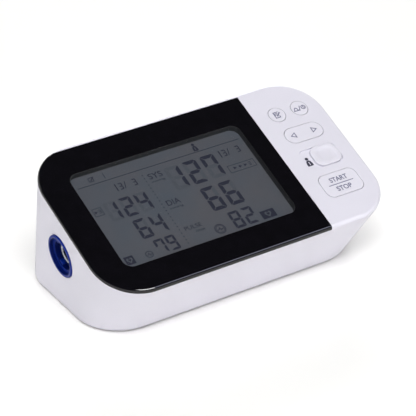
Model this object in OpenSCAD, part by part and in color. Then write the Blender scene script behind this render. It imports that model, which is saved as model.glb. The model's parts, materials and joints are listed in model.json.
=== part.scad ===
// Desktop upper-arm blood pressure monitor: main unit with a large sloping display.
// Millimetres, +Z up, +X to the right of someone facing the display, +Y to the back.
// The origin is on the table, under the middle of the case.

/* [Case] */
// Width of the case over its sloping top
case_w = 191; // [182:1:205]
// Depth from the front top edge to the back of the base
case_d = 122; // [118:1:128]
// Height of the back top edge above the underside of the case
case_h = 83.3; // [80:0.5:90]
// Slope of the top in degrees
top_tilt = 22.5; // [20:0.5:24]
// Length of the top along its slope
top_len = 108.5; // [106:0.5:113]
// How far each side of the base stands in from the top
base_inset = 5.7; // [3:0.1:7]
// How far the base stands back under the front top edge
front_undercut = 24.5; // [22:0.5:26]
// Corner radius of the top at the back and at the front left
top_corner_r = 27.2; // [24:0.5:30]
// Corner radius of the top at the front right
top_corner_front_r = 26; // [22:0.5:28]
// Corner radius of the base
base_corner_r = 27.3; // [24:0.5:30]
// Rounding of the top edge
top_edge_r = 1.5; // [0.8:0.1:2]
// Rounding of the bottom edge
bottom_edge_r = 2; // [1:0.1:2.2]
// Thickness of the side walls
wall_t = 2.4; // [1.8:0.1:3]
// Thickness of the top deck around the keys
deck_t = 2.4; // [2.2:0.1:3]
// Thickness of the base plate
floor_t = 2.4; // [2.3:0.1:3.2]
// Height of the lip of the base inside the walls
lip_h = 4; // [2:0.5:6]
// Thickness of that lip
lip_t = 1.4; // [1:0.1:2]
// Play between two fixed plastic pieces
fit_gap = 0.2; // [0.15:0.05:0.3]

/* [Display] */
// Width of the white strip right of the display panel
key_area_w = 46.9; // [44:0.5:52]
// Width of the white strip behind the display panel
back_strip = 2.4; // [1.5:0.1:4]
// Thickness of the display panel
panel_t = 2.6; // [2:0.1:3.2]
// Thickness of the adhesive under the panel
tape_t = 0.4; // [0.3:0.1:0.8]
// Thickness of the deck under the panel
panel_deck_t = 2; // [1.6:0.1:2.6]
// Joint line round the panel
panel_gap = 0.12; // [0.1:0.02:0.3]
// Distance from the left edge of the top to the clear window
window_left = 18.1; // [17.5:0.1:20]
// Distance from the clear window to the right edge of the panel
window_right = 12.2; // [11:0.1:14]
// Distance from the front edge of the top to the clear window
window_front = 18; // [17.2:0.1:19.2]
// Distance from the clear window to the back edge of the panel
window_back = 18.2; // [17:0.1:20]
// Corner radius of the window
window_r = 5.5; // [3:0.5:8]
// Thickness of the clear window
window_t = 1.8; // [1.2:0.1:2.2]
// Depth of the display glass below the top
glass_drop = 4.4; // [4:0.1:5]
// Thickness of the display glass
glass_t = 2.2; // [1.6:0.1:2.8]
// How far the display glass reaches under its frame on each side
glass_margin = 1.8; // [1.2:0.1:2.2]
// Wall thickness of the display frame
frame_t = 1.4; // [1:0.1:1.8]
// Width of the display frame's clamping flange
frame_flange = 2.5; // [1.5:0.1:3]
// Height of the space between display glass and circuit board
light_box_h = 5; // [4.6:0.1:6]

/* [Keys] */
// Play between a key and its opening
key_gap = 0.35; // [0.3:0.05:0.5]
// How far the keys stand above the deck
key_proud = 0.35; // [0.1:0.05:0.8]
// Travel of the push keys
key_travel = 0.7; // [0.4:0.1:1]
// Diameter of the two round keys
round_key_d = 10.6; // [9:0.1:11.5]
// Distance between the two round keys
round_key_pitch = 16; // [14.5:0.5:18]
// Place of the round keys along the top, as a share of its length from the front
round_key_place = 0.7875; // [0.781:0.0005:0.792]
// Length of the rocker key
rocker_w = 25.7; // [24:0.1:28]
// Width of the rocker key
rocker_d = 11.4; // [10:0.1:12]
// Place of the rocker key along the top, as a share of its length
rocker_place = 0.6245; // [0.62:0.0005:0.628]
// Tilt of the rocker key to each side in degrees
rocker_angle = 2.2; // [1:0.1:2.5]
// Width of the start and stop key
start_w = 25.7; // [24:0.1:28]
// Depth of the start and stop key
start_d = 16.4; // [15:0.1:18]
// Corner radius of the start and stop key
start_r = 4.6; // [3:0.1:6]
// Place of the start and stop key along the top, as a share of its length
start_place = 0.2455; // [0.236:0.0005:0.25]
// Length of the pocket of the user switch
switch_w = 25.4; // [24:0.1:28]
// Width of the pocket of the user switch
switch_d = 15.2; // [14:0.1:16]
// Depth of the pocket of the user switch
switch_pocket = 1.2; // [0.8:0.1:1.3]
// Length of the slider of the user switch
slider_w = 18.2; // [17:0.1:19]
// Place of the user switch along the top, as a share of its length
switch_place = 0.4465; // [0.442:0.0005:0.451]
// Height of the finger pad on the slider
slider_pad_h = 1.5; // [0.8:0.1:2.2]

/* [Air connector] */
// Diameter of the flange of the air connector
socket_flange_d = 25.6; // [24.5:0.1:26.5]
// How far the flange stands out of the wall
socket_proud = 1.2; // [0.8:0.1:1.3]
// Diameter of the body of the air connector
socket_body_d = 22; // [20.5:0.1:23]
// Diameter of the mouth of the air connector
socket_mouth_d = 17.4; // [15:0.1:18]
// Depth of the wide mouth
socket_mouth_depth = 5; // [3:0.5:7]
// Diameter of the bore that takes the air plug
socket_bore_d = 11.8; // [10:0.1:12.5]
// Length of the bore that takes the air plug
socket_bore_len = 9; // [7:0.5:11]
// Depth of the connector's axis below the top
socket_drop = 29.5; // [28:0.5:32]
// Position of the connector along the side, from the middle of the case
socket_y = 1; // [-1:0.5:4]

/* [Air parts] */
// Outer diameter of the hoses
hose_d = 6; // [5:0.2:7]
// Outer diameter of the hose nozzles
nozzle_d = 3.6; // [3:0.2:4]
// Length of the hose nozzles
nozzle_len = 7; // [5:0.5:8]
// Diameter of the air channels
channel_d = 1.6; // [1:0.1:2]
// Diameter of the pump motor
motor_d = 24.4; // [22:0.2:25]
// Length of the pump motor
motor_len = 31; // [28:0.5:34]
// Diameter of the motor's shaft
shaft_d = 2; // [1.5:0.1:2.5]
// Diameter of the pump housing
pump_d = 27; // [25:0.5:28]
// Length of the pump housing
pump_len = 17; // [15:0.5:20]
// Thickness of the rubber sleeve round the motor
sleeve_t = 2; // [1:0.1:2.5]
// Length of that sleeve
sleeve_len = 24; // [20:0.5:26]
// Diameter of the release valve
valve_d = 16; // [15:0.2:18]
// Length of the release valve
valve_len = 20; // [18:0.5:23]
// Stroke of the valve plunger
valve_stroke = 0.8; // [0.4:0.1:1]

/* [Power] */
// Diameter of one battery cell
cell_d = 14.5; // [13.5:0.1:14.5]
// Length of one battery cell with its contact nub
cell_len = 50.5; // [48:0.5:51]
// Number of battery cells
cell_count = 4; // [3:1:4]
// Thickness of the battery door
door_t = 2; // [1.6:0.1:2]
// Wall thickness of the battery box
box_t = 1.6; // [1.2:0.1:2]
// Bore of the power inlet
inlet_bore_d = 5.6; // [5:0.1:6]
// Diameter of the pin of the power inlet
inlet_pin_d = 2; // [1.6:0.1:2.1]
// Depth of the power inlet's bore
inlet_bore_len = 9.5; // [8:0.5:10]
// Height of the power inlet's axis above the underside of the case
inlet_h = 13; // [12:0.5:16]
// Position of the power inlet along the side, from the middle of the case
inlet_y = 19; // [13:1:25]

/* [Feet and screws] */
// Height of the rubber feet under the case
foot_h = 1; // [0.8:0.1:1.5]
// Diameter of the rubber feet
foot_d = 10; // [8:0.5:11]
// Depth of the feet's seats in the base
foot_seat = 0.8; // [0.5:0.1:1.2]
// Diameter of the case screws' shanks
screw_d = 3; // [2.5:0.1:3.5]
// Diameter of the case screws' heads
screw_head_d = 5.6; // [5:0.1:6]

/* [Hidden] */

$fn = 48;
corner_steps = 12;         // facets in a quarter turn of the case's corners
far = 400;                 // larger than the object, for cutting boxes
skin = 0.01;               // thickness of the slices that the hulls join

// Case frame: the sloping top starts at (top_y0, top_z0) and rises to the back.
top_y0 = -case_d / 2 - top_edge_r * sin(top_tilt);
top_z0 = foot_h + case_h - top_len * sin(top_tilt);
base_hx = case_w / 2 - base_inset;
base_y0 = -case_d / 2 + front_undercut;
base_y1 = case_d / 2;
split_z = foot_h + floor_t;

// Display and its stack, measured down from the top.
panel_u1 = case_w / 2 - key_area_w;
panel_v1 = top_len - back_strip;
window_w = panel_u1 + case_w / 2 - window_left - window_right;
window_d = panel_v1 - window_front - window_back;
window_u = -case_w / 2 + window_left + window_w / 2;
window_v = window_front + window_d / 2;
recess_drop = panel_t + tape_t;
panel_deck_drop = recess_drop + panel_deck_t;
glass_w = window_w + 2 * glass_margin;
glass_d = window_d + 2 * glass_margin;
frame_play = 0.2;
frame_w = glass_w + 2 * (frame_play + frame_t);
frame_d = glass_d + 2 * (frame_play + frame_t);
flange_t = 1.2;
view_margin = 0.3;
board_drop = glass_drop + glass_t + light_box_h;
board_t = 1.6;
board_u0 = window_u - frame_w / 2 - frame_flange - 1.3;
board_u1 = case_w / 2 - 7.5;
board_v0 = 7;
board_v1 = top_len - 8;
board_mid = [(board_u0 + board_u1) / 2, (board_v0 + board_v1) / 2];
board_corner_r = 22;
tape_ring = 3;
strip_t = 2.2;                       // thickness of the contact strips
strip_inset = 0.3;                   // they stand in from the edge of the glass
guide_gap = 0.7;                     // between contact strips and light guide

// Keys and switches.
key_u = case_w / 2 - key_area_w / 2;
round_key_v = round_key_place * top_len;
rocker_v = rocker_place * top_len;
start_v = start_place * top_len;
switch_v = switch_place * top_len;
key_flange = 0.8;
key_flange_t = 1.2;
key_seat = 0.2;
tact_size = 6;
tact_h = 3.2;
tact_well_r = 2;
stem_r = 1.7;
stem_dip = 0.3;
rocker_arm = 8;
tact_well_depth = stem_dip + max(key_travel, rocker_arm * sin(rocker_angle)) + 0.5;
rocker_pin_r = 1;
rocker_axis_drop = 4;
rocker_bracket_t = 2;
running_gap = 0.05;
slider_travel = switch_w - slider_w - 2 * key_gap;
slider_u = key_u + slider_travel / 2;
neck_w = 6;
neck_d = 3;
lever_size = 2;
slide_body = [15, 7, 4];
board_post_r = 2.4;
board_screw_r = 1;
board_posts = [[panel_u1 - 2.6, board_v0 + 6.1], [panel_u1 - 2.6, board_v1 - 4.4],
               [window_u - 40, board_v0 + 2.3], [window_u - 40, board_v1 - 2.9]];

// Air connector, square to the drafted left wall.
socket_top_z = top_z0 + (socket_y - top_y0) * tan(top_tilt);
socket_z = socket_top_z - socket_drop;
socket_draft = atan(base_inset / (socket_top_z - foot_h));
socket_x = -base_hx - base_inset * (socket_z - foot_h) / (socket_top_z - foot_h);
socket_sink = 0.8;
socket_pad = 3.4;
socket_pad_r = 15.5;
socket_back_t = 2.5;
socket_len = socket_mouth_depth + socket_bore_len + socket_back_t - socket_proud;
seal_t = 1;
nut_t = 3;
nut_r = 14;

// Air parts on the base.
pump_x0 = -base_hx + 14;             // rear end of the motor
pump_y = base_y1 - 34;
shaft_r = shaft_d / 2;
shaft_out = 8;                       // length of the shaft inside the pump housing
hub_len = 5;
sleeve_r = motor_d / 2 + sleeve_t;
saddle_gap = 0.15;
pump_z = split_z + 1 + sleeve_r + saddle_gap;
pump_x1 = pump_x0 + motor_len;       // motor meets pump housing
diaphragm_t = 1.2;
cover_t = 6;
pump_x2 = pump_x1 + pump_len;
pump_x3 = pump_x2 + diaphragm_t + cover_t;
can_t = 0.8;
can_end_t = 1.5;
cap_t = 2.5;                         // end cap that closes the can
cap_boss_r = 3;
cap_boss_len = 4;
magnet_t = 2.3;
rotor_gap = 0.5;
rotor_r = motor_d / 2 - can_t - magnet_t - rotor_gap;
rotor_inset = [8, 5];                // room at the two ends of the rotor
magnet_inset = [7, 5];
hub_r = 4;
hub_offset = 1;                      // throw of the eccentric hub
terminal_t = 0.6;
terminal_len = 3.2;
terminal_y = 6;                      // distance of the motor's terminals from its axis
chamber_depth = 11;
chamber_wall = 3;
cylinder_r = 3;                      // the three cylinders over the diaphragm
cylinder_pitch_r = 7;
strap_t = 1.4;
strap_w = 10;
strap_foot = 7;
strap_screw_r = 1.25;
strap_screw_len = 6;
strap_head_r = 2.4;
strap_head_h = 1.8;
saddle_t = 3;                        // thickness of the ribs that carry pump and valve
saddle_side = 2;
strap_x = pump_x0 + motor_len / 2;
strap_base_z = pump_z - 6;
strap_dy = sleeve_r + saddle_gap + strap_t + strap_foot / 2;
valve_y = base_y0 + 12.5;
valve_z = split_z + 1 + valve_d / 2 + saddle_gap;
valve_wall = 1;
plunger_r = 2.4;
bobbin_r = 3.4;
bobbin_flange = 1.2;
seat_t = 3;
bobbin_play = 0.1;
coil_play = 0.05;
spring_r = 2;
spring_t = 0.7;
spring_room = 4;
guide_pin_r = 1;                     // pin of the plunger inside the spring

// Battery box in the base.
contact_t = 0.5;
spring_len = 4.2;
cell_play = 0.4;
box_len = cell_len + spring_len + 2 * contact_t + cell_play;
cell_pitch = cell_d + cell_play;
latch_room = 2.2;
latch_w = 14;
latch_t = 1.2;
latch_h = 3;
grip_w = 16;                         // finger grip in the door
grip_d = 5;
grip_depth = 0.8;
box_depth = cell_count * cell_pitch + cell_play + latch_room;
box_x1 = base_hx - 20.7;
box_x0 = box_x1 - box_len;
box_y0 = (base_y0 + base_y1 - box_depth) / 2;
box_y1 = box_y0 + box_depth;
door_z0 = foot_h + 0.2;
door_gap = 0.3;
cell_z = door_z0 + door_t + door_gap + cell_d / 2;
box_top_z = cell_z + cell_d / 2 + door_gap;
hinge_r = door_t / 2;
hinge_y = box_y0 + door_gap + hinge_r;
hinge_z = door_z0 + hinge_r;
hinge_pin_r = 0.75;
hinge_pin_len = 1.2;

// Screws, posts and feet.
post_r = 4;
post_angle = 15;
post_reach = base_corner_r - wall_t - fit_gap - lip_t - post_r - 0.8;
post_x = base_hx - base_corner_r + post_reach * cos(post_angle);
post_ys = [base_y0 + base_corner_r - post_reach * sin(post_angle),
           base_y1 - base_corner_r + post_reach * sin(post_angle)];
screw_boss_h = 2;
post_z0 = split_z + screw_boss_h;
post_h = 11;
rib_t = 2;
boss_edge = 1;                       // the base's screw bosses are wider than the posts
screw_head_h = 2;
screw_seat_z = foot_h + 2.4;
screw_len = 9;
foot_angle = 48;
foot_reach = base_corner_r - foot_d / 2 - bottom_edge_r - 0.5;
foot_x = base_hx - base_corner_r + foot_reach * cos(foot_angle);
foot_ys = [base_y0 + base_corner_r - foot_reach * sin(foot_angle),
           base_y1 - base_corner_r + foot_reach * sin(foot_angle)];

// Power inlet in the right wall.
inlet_z = foot_h + inlet_h;
inlet_size = [13, 9, 11];
inlet_nose_r = 4.2;
inlet_nose_len = 2.6;
inlet_x1 = base_hx - wall_t + 0.4;
inlet_stop = inlet_nose_len - inlet_bore_len;   // floor of the bore
inlet_pin_seat = 1.5;

// Manifold between pump, valve and battery box, and the parts that face it.
manifold_size = 10;
manifold = [box_x0 - box_t - manifold_size / 2 - 3.4, (pump_y + valve_y) / 2 - 0.5, split_z + 10];
valve_x1 = manifold[0] - 15;         // nozzle end of the valve
sensor_size = [9, 9, 6];
sensor_drop = board_drop + board_t + sensor_size[2];
sensor_u = manifold[0] - 3;
sensor_v = (manifold[1] - 20 - top_y0) / cos(top_tilt);

case_white = [0.91, 0.91, 0.93];
panel_black = [0.05, 0.045, 0.06];
socket_blue = [0.05, 0.07, 0.42];
board_green = [0.06, 0.3, 0.16];
silicone = [0.86, 0.87, 0.86];
steel = [0.72, 0.73, 0.75];
rubber_grey = [0.25, 0.25, 0.26];
brass_tone = [0.78, 0.62, 0.3];

// ---------- shared shapes ----------

// Frame of the sloping top: X across, Y up the slope, Z out of the top.
module on_top() {
    translate([0, top_y0, top_z0]) rotate([top_tilt, 0, 0]) children();
}

// Frame of the air connector: Z points out of the left wall.
module at_socket() {
    translate([socket_x, socket_y, socket_z]) rotate([0, -90 - socket_draft, 0]) children();
}

// Box from its two corners.
module box(low, high) {
    translate(low) cube(high - low);
}

// Upright rounded rectangle, centred, from height z0 to z1.
module rounded_slab(w, d, r, z0, z1) {
    translate([0, 0, z0]) linear_extrude(z1 - z0) {
        square([w - 2 * r, d], center = true);
        square([w, d - 2 * r], center = true);
        for (sx = [-1, 1], sy = [-1, 1])
            translate([sx * (w / 2 - r), sy * (d / 2 - r)]) circle(r = r);
    }
}

// Rod along X.
module rod_x(r, x0, x1) {
    translate([x0, 0, 0]) rotate([0, 90, 0]) cylinder(r = r, h = x1 - x0);
}

function quarter(cx, cy, r, start) =
    [for (i = [0 : corner_steps])
        [cx + r * cos(start + 90 * i / corner_steps), cy + r * sin(start + 90 * i / corner_steps)]];

// Outline of the top, drawn in by inset.
function top_outline(inset) =
    let (hx = case_w / 2 - inset, r = top_corner_r - inset, rf = top_corner_front_r - inset,
         y0 = inset, y1 = top_len - inset)
    concat(quarter(hx - r, y1 - r, r, 0), quarter(-hx + r, y1 - r, r, 90),
           quarter(-hx + r, y0 + r, r, 180), quarter(hx - rf, y0 + rf, rf, 270));

// Outline of the base, drawn in by inset.
function base_outline(inset) =
    let (hx = base_hx - inset, r = base_corner_r - inset, y0 = base_y0 + inset, y1 = base_y1 - inset)
    concat(quarter(hx - r, y1 - r, r, 0), quarter(-hx + r, y1 - r, r, 90),
           quarter(-hx + r, y0 + r, r, 180), quarter(hx - r, y0 + r, r, 270));

module top_slice(inset, drop) {
    on_top() translate([0, 0, -drop - skin]) linear_extrude(skin) polygon(top_outline(inset));
}

module base_slice(inset, height) {
    translate([0, 0, foot_h + height]) linear_extrude(skin) polygon(base_outline(inset));
}

// Outer form of the closed case, with rounded top and bottom edges.
module outer_body() {
    hull() {
        for (a = [0 : 30 : 90]) {
            top_slice(top_edge_r * (1 - cos(a)), top_edge_r * (1 - sin(a)));
            base_slice(bottom_edge_r * (1 - cos(a)), bottom_edge_r * (1 - sin(a)));
        }
    }
}

// Space inside the walls, drawn in by a further inset; it runs down through the base plate.
module inner_body(inset) {
    hull() {
        top_slice(wall_t + inset, deck_t + inset);
        base_slice(wall_t + inset, 0);
    }
}

// Ring of the same wall as a rounded slab.
module slab_ring(w, d, r, border, z0, z1) {
    difference() {
        rounded_slab(w, d, r, z0, z1);
        rounded_slab(w - 2 * border, d - 2 * border, max(r - border, 0.3), z0 - 1, z1 + 1);
    }
}

function lerp3(a, b, t) = a + (b - a) * t;
function bezier(p, t) =
    let (a = lerp3(p[0], p[1], t), b = lerp3(p[1], p[2], t), c = lerp3(p[2], p[3], t))
    lerp3(lerp3(a, b, t), lerp3(b, c, t), t);
function unit(v) = v / norm(v);

// Route between two ports: straight over each nozzle, and one smooth curve between.
function hose_route(p, dir_p, q, dir_q, straight, reach, steps) =
    let (a = p + straight * dir_p, b = q + straight * dir_q)
    concat([p], [for (i = [0 : steps]) bezier([a, a + reach * dir_p, b + reach * dir_q, b], i / steps)], [q]);

function ring_at(route, i, side, r, sides) =
    let (n = len(route) - 1,
         tangent = unit(i == 0 ? route[1] - route[0] : i == n ? route[n] - route[n - 1]
                                                            : route[i + 1] - route[i - 1]),
         x = unit(cross(side, tangent)), y = cross(tangent, x))
    [for (k = [0 : sides - 1]) route[i] + r * (cos(360 * k / sides) * x + sin(360 * k / sides) * y)];

// Tube along a route; side is a direction that the route never follows.
module swept_tube(route, side, r_out, r_in, sides) {
    n = len(route);
    outer = [for (i = [0 : n - 1]) each ring_at(route, i, side, r_out, sides)];
    inner = [for (i = [0 : n - 1]) each ring_at(route, i, side, r_in, sides)];
    m = n * sides;
    last = m - sides;
    faces = concat(
        [for (i = [0 : n - 2], k = [0 : sides - 1])
            let (a = i * sides + k, b = i * sides + (k + 1) % sides) [a, a + sides, b + sides, b]],
        [for (i = [0 : n - 2], k = [0 : sides - 1])
            let (a = m + i * sides + k, b = m + i * sides + (k + 1) % sides) [b, b + sides, a + sides, a]],
        [for (k = [0 : sides - 1]) let (j = (k + 1) % sides) [k, j, m + j, m + k]],
        [for (k = [0 : sides - 1]) let (j = (k + 1) % sides)
            [last + j, last + k, m + last + k, m + last + j]]);
    polyhedron(points = concat(outer, inner), faces = faces, convexity = 6);
}

// Solid wire along a route.
module swept_wire(route, side, r, sides) {
    n = len(route);
    points = [for (i = [0 : n - 1]) each ring_at(route, i, side, r, sides)];
    faces = concat(
        [for (i = [0 : n - 2], k = [0 : sides - 1])
            let (a = i * sides + k, b = i * sides + (k + 1) % sides) [a, a + sides, b + sides, b]],
        [[for (k = [0 : sides - 1]) k]],
        [[for (k = [0 : sides - 1]) n * sides - 1 - k]]);
    polyhedron(points = points, faces = faces, convexity = 6);
}

// Point and direction of the sloping frame in the table's frame.
function top_point(u, v, w) =
    [u, top_y0 + v * cos(top_tilt) - w * sin(top_tilt), top_z0 + v * sin(top_tilt) + w * cos(top_tilt)];
into_case = [0, sin(top_tilt), -cos(top_tilt)];

// ---------- casing ----------

// Pockets and openings in the top deck.
module deck_openings() {
    cut = deck_t + 1;
    translate([window_u, window_v, 0])
        rounded_slab(frame_w + 2 * fit_gap, frame_d + 2 * fit_gap, 2, -panel_deck_drop - 1, 1);
    for (s = [-1, 1])
        translate([key_u + s * round_key_pitch / 2, round_key_v, -cut])
            cylinder(d = round_key_d + 2 * key_gap, h = cut + 1);
    translate([key_u, rocker_v, 0])
        rounded_slab(rocker_w + 2 * key_gap, rocker_d + 2 * key_gap, rocker_d / 2 + key_gap - 0.01, -cut, 1);
    translate([key_u, start_v, 0])
        rounded_slab(start_w + 2 * key_gap, start_d + 2 * key_gap, start_r + key_gap, -cut, 1);
    translate([key_u, switch_v, 0]) rounded_slab(switch_w, switch_d, 4.5, -switch_pocket, 1);
    translate([key_u, switch_v, 0])
        rounded_slab(neck_w + slider_travel + 2 * key_gap, neck_d + 2 * key_gap, 1, -cut, 1);
}

// Brackets for the rocker's pins and posts for the board, hanging from the deck.
module deck_bosses() {
    difference() {
        for (s = [-1, 1])
            translate([key_u, rocker_v + s * (rocker_d / 2 + key_gap + rocker_bracket_t / 2 + 0.1), 0])
                box([-2.4, -rocker_bracket_t / 2, -rocker_axis_drop - 2.2], [2.4, rocker_bracket_t / 2, -1]);
        rocker_bore();
    }
    for (p = board_posts)
        translate([p[0], p[1], -board_drop]) cylinder(r = board_post_r, h = board_drop - 1);
}

module rocker_bore() {
    translate([key_u, rocker_v, -rocker_axis_drop]) rotate([90, 0, 0])
        cylinder(r = rocker_pin_r + running_gap, h = rocker_d + 12, center = true);
}

// Screw posts that stand in from the side walls.
module wall_posts() {
    for (s = [-1, 1], y = post_ys) {
        translate([s * post_x, y, post_z0]) cylinder(r = post_r, h = post_h);
        translate([s * (post_x + 10), y, split_z + lip_h + 0.5 + post_h / 4])
            cube([20, rib_t, post_h / 2], center = true);
    }
}

module post_pilots() {
    for (s = [-1, 1], y = post_ys)
        translate([s * post_x, y, post_z0 - 1]) cylinder(d = screw_d + 0.06, h = screw_len + 1);
    on_top() for (p = board_posts)
        translate([p[0], p[1], -board_drop - 1]) cylinder(r = board_screw_r + 0.03, h = 5.4);
}

module upper_case() {
    color(case_white) difference() {
        outer_body();
        box([-far, -far, -far], [far, far, split_z]);
        difference() {
            inner_body(0);
            on_top() box([-far, -far, -panel_deck_drop],
                         [panel_u1 + panel_gap + 1.6, panel_v1 + panel_gap + 1.6, 1]);
            on_top() deck_bosses();
            wall_posts();
            at_socket() translate([0, 0, -socket_pad]) cylinder(r = socket_pad_r, h = socket_pad);
        }
        on_top() box([-far, -far, -recess_drop], [panel_u1 + panel_gap, panel_v1 + panel_gap, far]);
        on_top() deck_openings();
        on_top() rocker_bore();
        at_socket() translate([0, 0, -socket_sink]) cylinder(d = socket_flange_d + 2 * fit_gap, h = 6);
        at_socket() translate([0, 0, -socket_pad - 1]) cylinder(d = socket_body_d + fit_gap, h = 8);
        translate([0, inlet_y, inlet_z]) rod_x(inlet_nose_r + fit_gap, base_hx - 10, case_w);
        post_pilots();
    }
}

// Rib with a round seat for a part of radius r on the axis (y, z).
module saddle(x, y, z, r, top_z) {
    difference() {
        box([x - saddle_t / 2, y - r - saddle_side, split_z - 1],
            [x + saddle_t / 2, y + r + saddle_side, top_z]);
        translate([0, y, z]) rod_x(r + saddle_gap, x - saddle_t, x + saddle_t);
    }
}

// Ribs, saddles and pads of the base, all standing on the base plate.
module base_ribs() {
    for (x = [strap_x - 9, strap_x + 9])
        saddle(x, pump_y, pump_z, sleeve_r, pump_z - 4);
    for (s = [-1, 1])
        box([strap_x - strap_w / 2, pump_y + s * strap_dy - strap_foot / 2, split_z - 1],
            [strap_x + strap_w / 2, pump_y + s * strap_dy + strap_foot / 2, strap_base_z]);
    for (x = [valve_x1 - valve_len + 3, valve_x1 - 5])
        saddle(x, valve_y, valve_z, valve_d / 2, valve_z);
    box([manifold[0] - 3, manifold[1] - 3, split_z - 1],
        [manifold[0] + 3, manifold[1] + 3, manifold[2] - manifold_size / 2]);
    box([inlet_x1 - inlet_size[0], inlet_y - inlet_size[1] / 2 - 1, split_z - 1],
        [inlet_x1 - 3, inlet_y + inlet_size[1] / 2 + 1, inlet_z - inlet_size[2] / 2]);
}

module lower_case() {
    color(case_white) difference() {
        union() {
            intersection() {
                outer_body();
                box([-far, -far, 0], [far, far, split_z]);
            }
            intersection() {
                difference() {
                    inner_body(fit_gap);
                    inner_body(fit_gap + lip_t);
                }
                box([-far, -far, split_z - 1], [far, far, split_z + lip_h]);
            }
            base_ribs();
            box([box_x0 - box_t, box_y0 - box_t, split_z - 1],
                [box_x1 + box_t, box_y1 + box_t, box_top_z + box_t]);
            for (s = [-1, 1], y = post_ys)
                translate([s * post_x, y, split_z - 1])
                    cylinder(r = post_r + boss_edge, h = screw_boss_h + 1);
        }
        box([box_x0, box_y0, 0], [box_x1, box_y1, box_top_z]);
        translate([0, hinge_y, hinge_z])
            rod_x(hinge_pin_r + running_gap, box_x0 - hinge_pin_len - 0.3, box_x1 + hinge_pin_len + 0.3);
        for (s = [-1, 1], y = post_ys)
            translate([s * post_x, y, 0]) {
                cylinder(d = screw_head_d + 2 * fit_gap, h = screw_seat_z);
                cylinder(d = screw_d + 2 * fit_gap, h = far);
            }
        for (s = [-1, 1], y = foot_ys)
            translate([s * foot_x, y, 0]) cylinder(d = foot_d + fit_gap, h = foot_h + foot_seat);
        for (s = [-1, 1])
            translate([strap_x, pump_y + s * strap_dy, strap_base_z - strap_screw_len - 1])
                cylinder(r = strap_screw_r + 0.03, h = strap_screw_len + 2);
    }
}

module case_screws() {
    color(steel) for (s = [-1, 1], y = post_ys)
        translate([s * post_x, y, 0]) {
            difference() {
                translate([0, 0, screw_seat_z - screw_head_h]) cylinder(d = screw_head_d, h = screw_head_h);
                for (a = [0, 90])
                    rotate([0, 0, a]) translate([0, 0, screw_seat_z - screw_head_h])
                        cube([3.2, 0.8, 1.6], center = true);
            }
            translate([0, 0, screw_seat_z]) cylinder(d = screw_d, h = post_z0 + screw_len - 1 - screw_seat_z);
        }
}

module rubber_feet() {
    color(rubber_grey) for (s = [-1, 1], y = foot_ys)
        translate([s * foot_x, y, 0]) {
            cylinder(d1 = foot_d - 1, d2 = foot_d, h = 0.5);
            translate([0, 0, 0.5]) cylinder(d = foot_d, h = foot_h + foot_seat - 0.5);
        }
}

// ---------- display ----------

module display_panel() {
    color(panel_black) difference() {
        intersection() {
            outer_body();
            on_top() box([-far, -far, -panel_t], [panel_u1, panel_v1, far]);
        }
        on_top() translate([window_u, window_v, 0])
            rounded_slab(window_w, window_d, window_r, -panel_t - 1, 1);
    }
}

module window_pane() {
    color([0.5, 0.55, 0.6, 0.3]) on_top() translate([window_u, window_v, 0])
        rounded_slab(window_w - 0.1, window_d - 0.1, window_r - 0.05, -window_t, 0);
}

module panel_tape() {
    color([0.2, 0.2, 0.2]) on_top() translate([window_u, window_v, 0])
        slab_ring(frame_w + 2 * fit_gap + 2 * tape_ring, frame_d + 2 * fit_gap + 2 * tape_ring, 5, tape_ring,
                  -recess_drop, -panel_t);
}

// Frame that holds the display glass under the panel and stands on the board.
module display_frame() {
    open_w = window_w + 2 * view_margin;
    open_d = window_d + 2 * view_margin;
    color([0.13, 0.13, 0.14]) on_top() translate([window_u, window_v, 0]) difference() {
        union() {
            rounded_slab(frame_w, frame_d, 1.6, -board_drop, -panel_t);
            rounded_slab(frame_w + 2 * frame_flange, frame_d + 2 * frame_flange, 3,
                         -panel_deck_drop - flange_t, -panel_deck_drop);
        }
        rounded_slab(open_w, open_d, window_r + view_margin, -far, 1);
        box([-glass_w / 2 - frame_play, -glass_d / 2 - frame_play, -far],
            [glass_w / 2 + frame_play, glass_d / 2 + frame_play, -glass_drop]);
    }
}

module display_glass() {
    color([0.3, 0.31, 0.34]) on_top() translate([window_u, window_v, 0])
        box([-glass_w / 2, -glass_d / 2, -glass_drop - glass_t], [glass_w / 2, glass_d / 2, -glass_drop]);
}

module light_guide() {
    top = -glass_drop - glass_t;
    half_w = glass_w / 2 - 1;
    half_d = glass_d / 2 - strip_inset - strip_t - guide_gap;
    color([0.85, 0.87, 0.86]) on_top() translate([window_u, window_v, 0])
        box([-half_w, -half_d, top - light_box_h + 0.1], [half_w, half_d, top]);
}

module contact_strips() {
    top = -glass_drop - glass_t;
    color([0.9, 0.6, 0.65]) on_top() translate([window_u, window_v, 0])
        for (s = [-1, 1])
            translate([0, s * (glass_d / 2 - strip_t / 2 - strip_inset), top - light_box_h / 2])
                cube([glass_w - 8, strip_t, light_box_h], center = true);
}

// ---------- circuit board ----------

board_screw_play = 0.2;
board_screw_bite = 4;
board_head_r = 2.1;
board_head_h = 1.4;

module board_outline_2d() {
    translate(board_mid) {
        w = board_u1 - board_u0;
        d = board_v1 - board_v0;
        square([w - 2 * board_corner_r, d], center = true);
        square([w, d - 2 * board_corner_r], center = true);
        for (sx = [-1, 1], sy = [-1, 1])
            translate([sx * (w / 2 - board_corner_r), sy * (d / 2 - board_corner_r)])
                circle(r = board_corner_r);
    }
}

module main_board() {
    color(board_green) on_top() difference() {
        translate([0, 0, -board_drop - board_t]) linear_extrude(board_t) board_outline_2d();
        for (p = board_posts)
            translate([p[0], p[1], -far]) cylinder(r = board_screw_r + board_screw_play, h = far);
    }
}

module board_screws() {
    color(steel) on_top() for (p = board_posts)
        translate([p[0], p[1], -board_drop - board_t]) {
            translate([0, 0, -board_head_h]) cylinder(r = board_head_r, h = board_head_h);
            cylinder(r = board_screw_r, h = board_t + board_screw_bite);
        }
}

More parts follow.
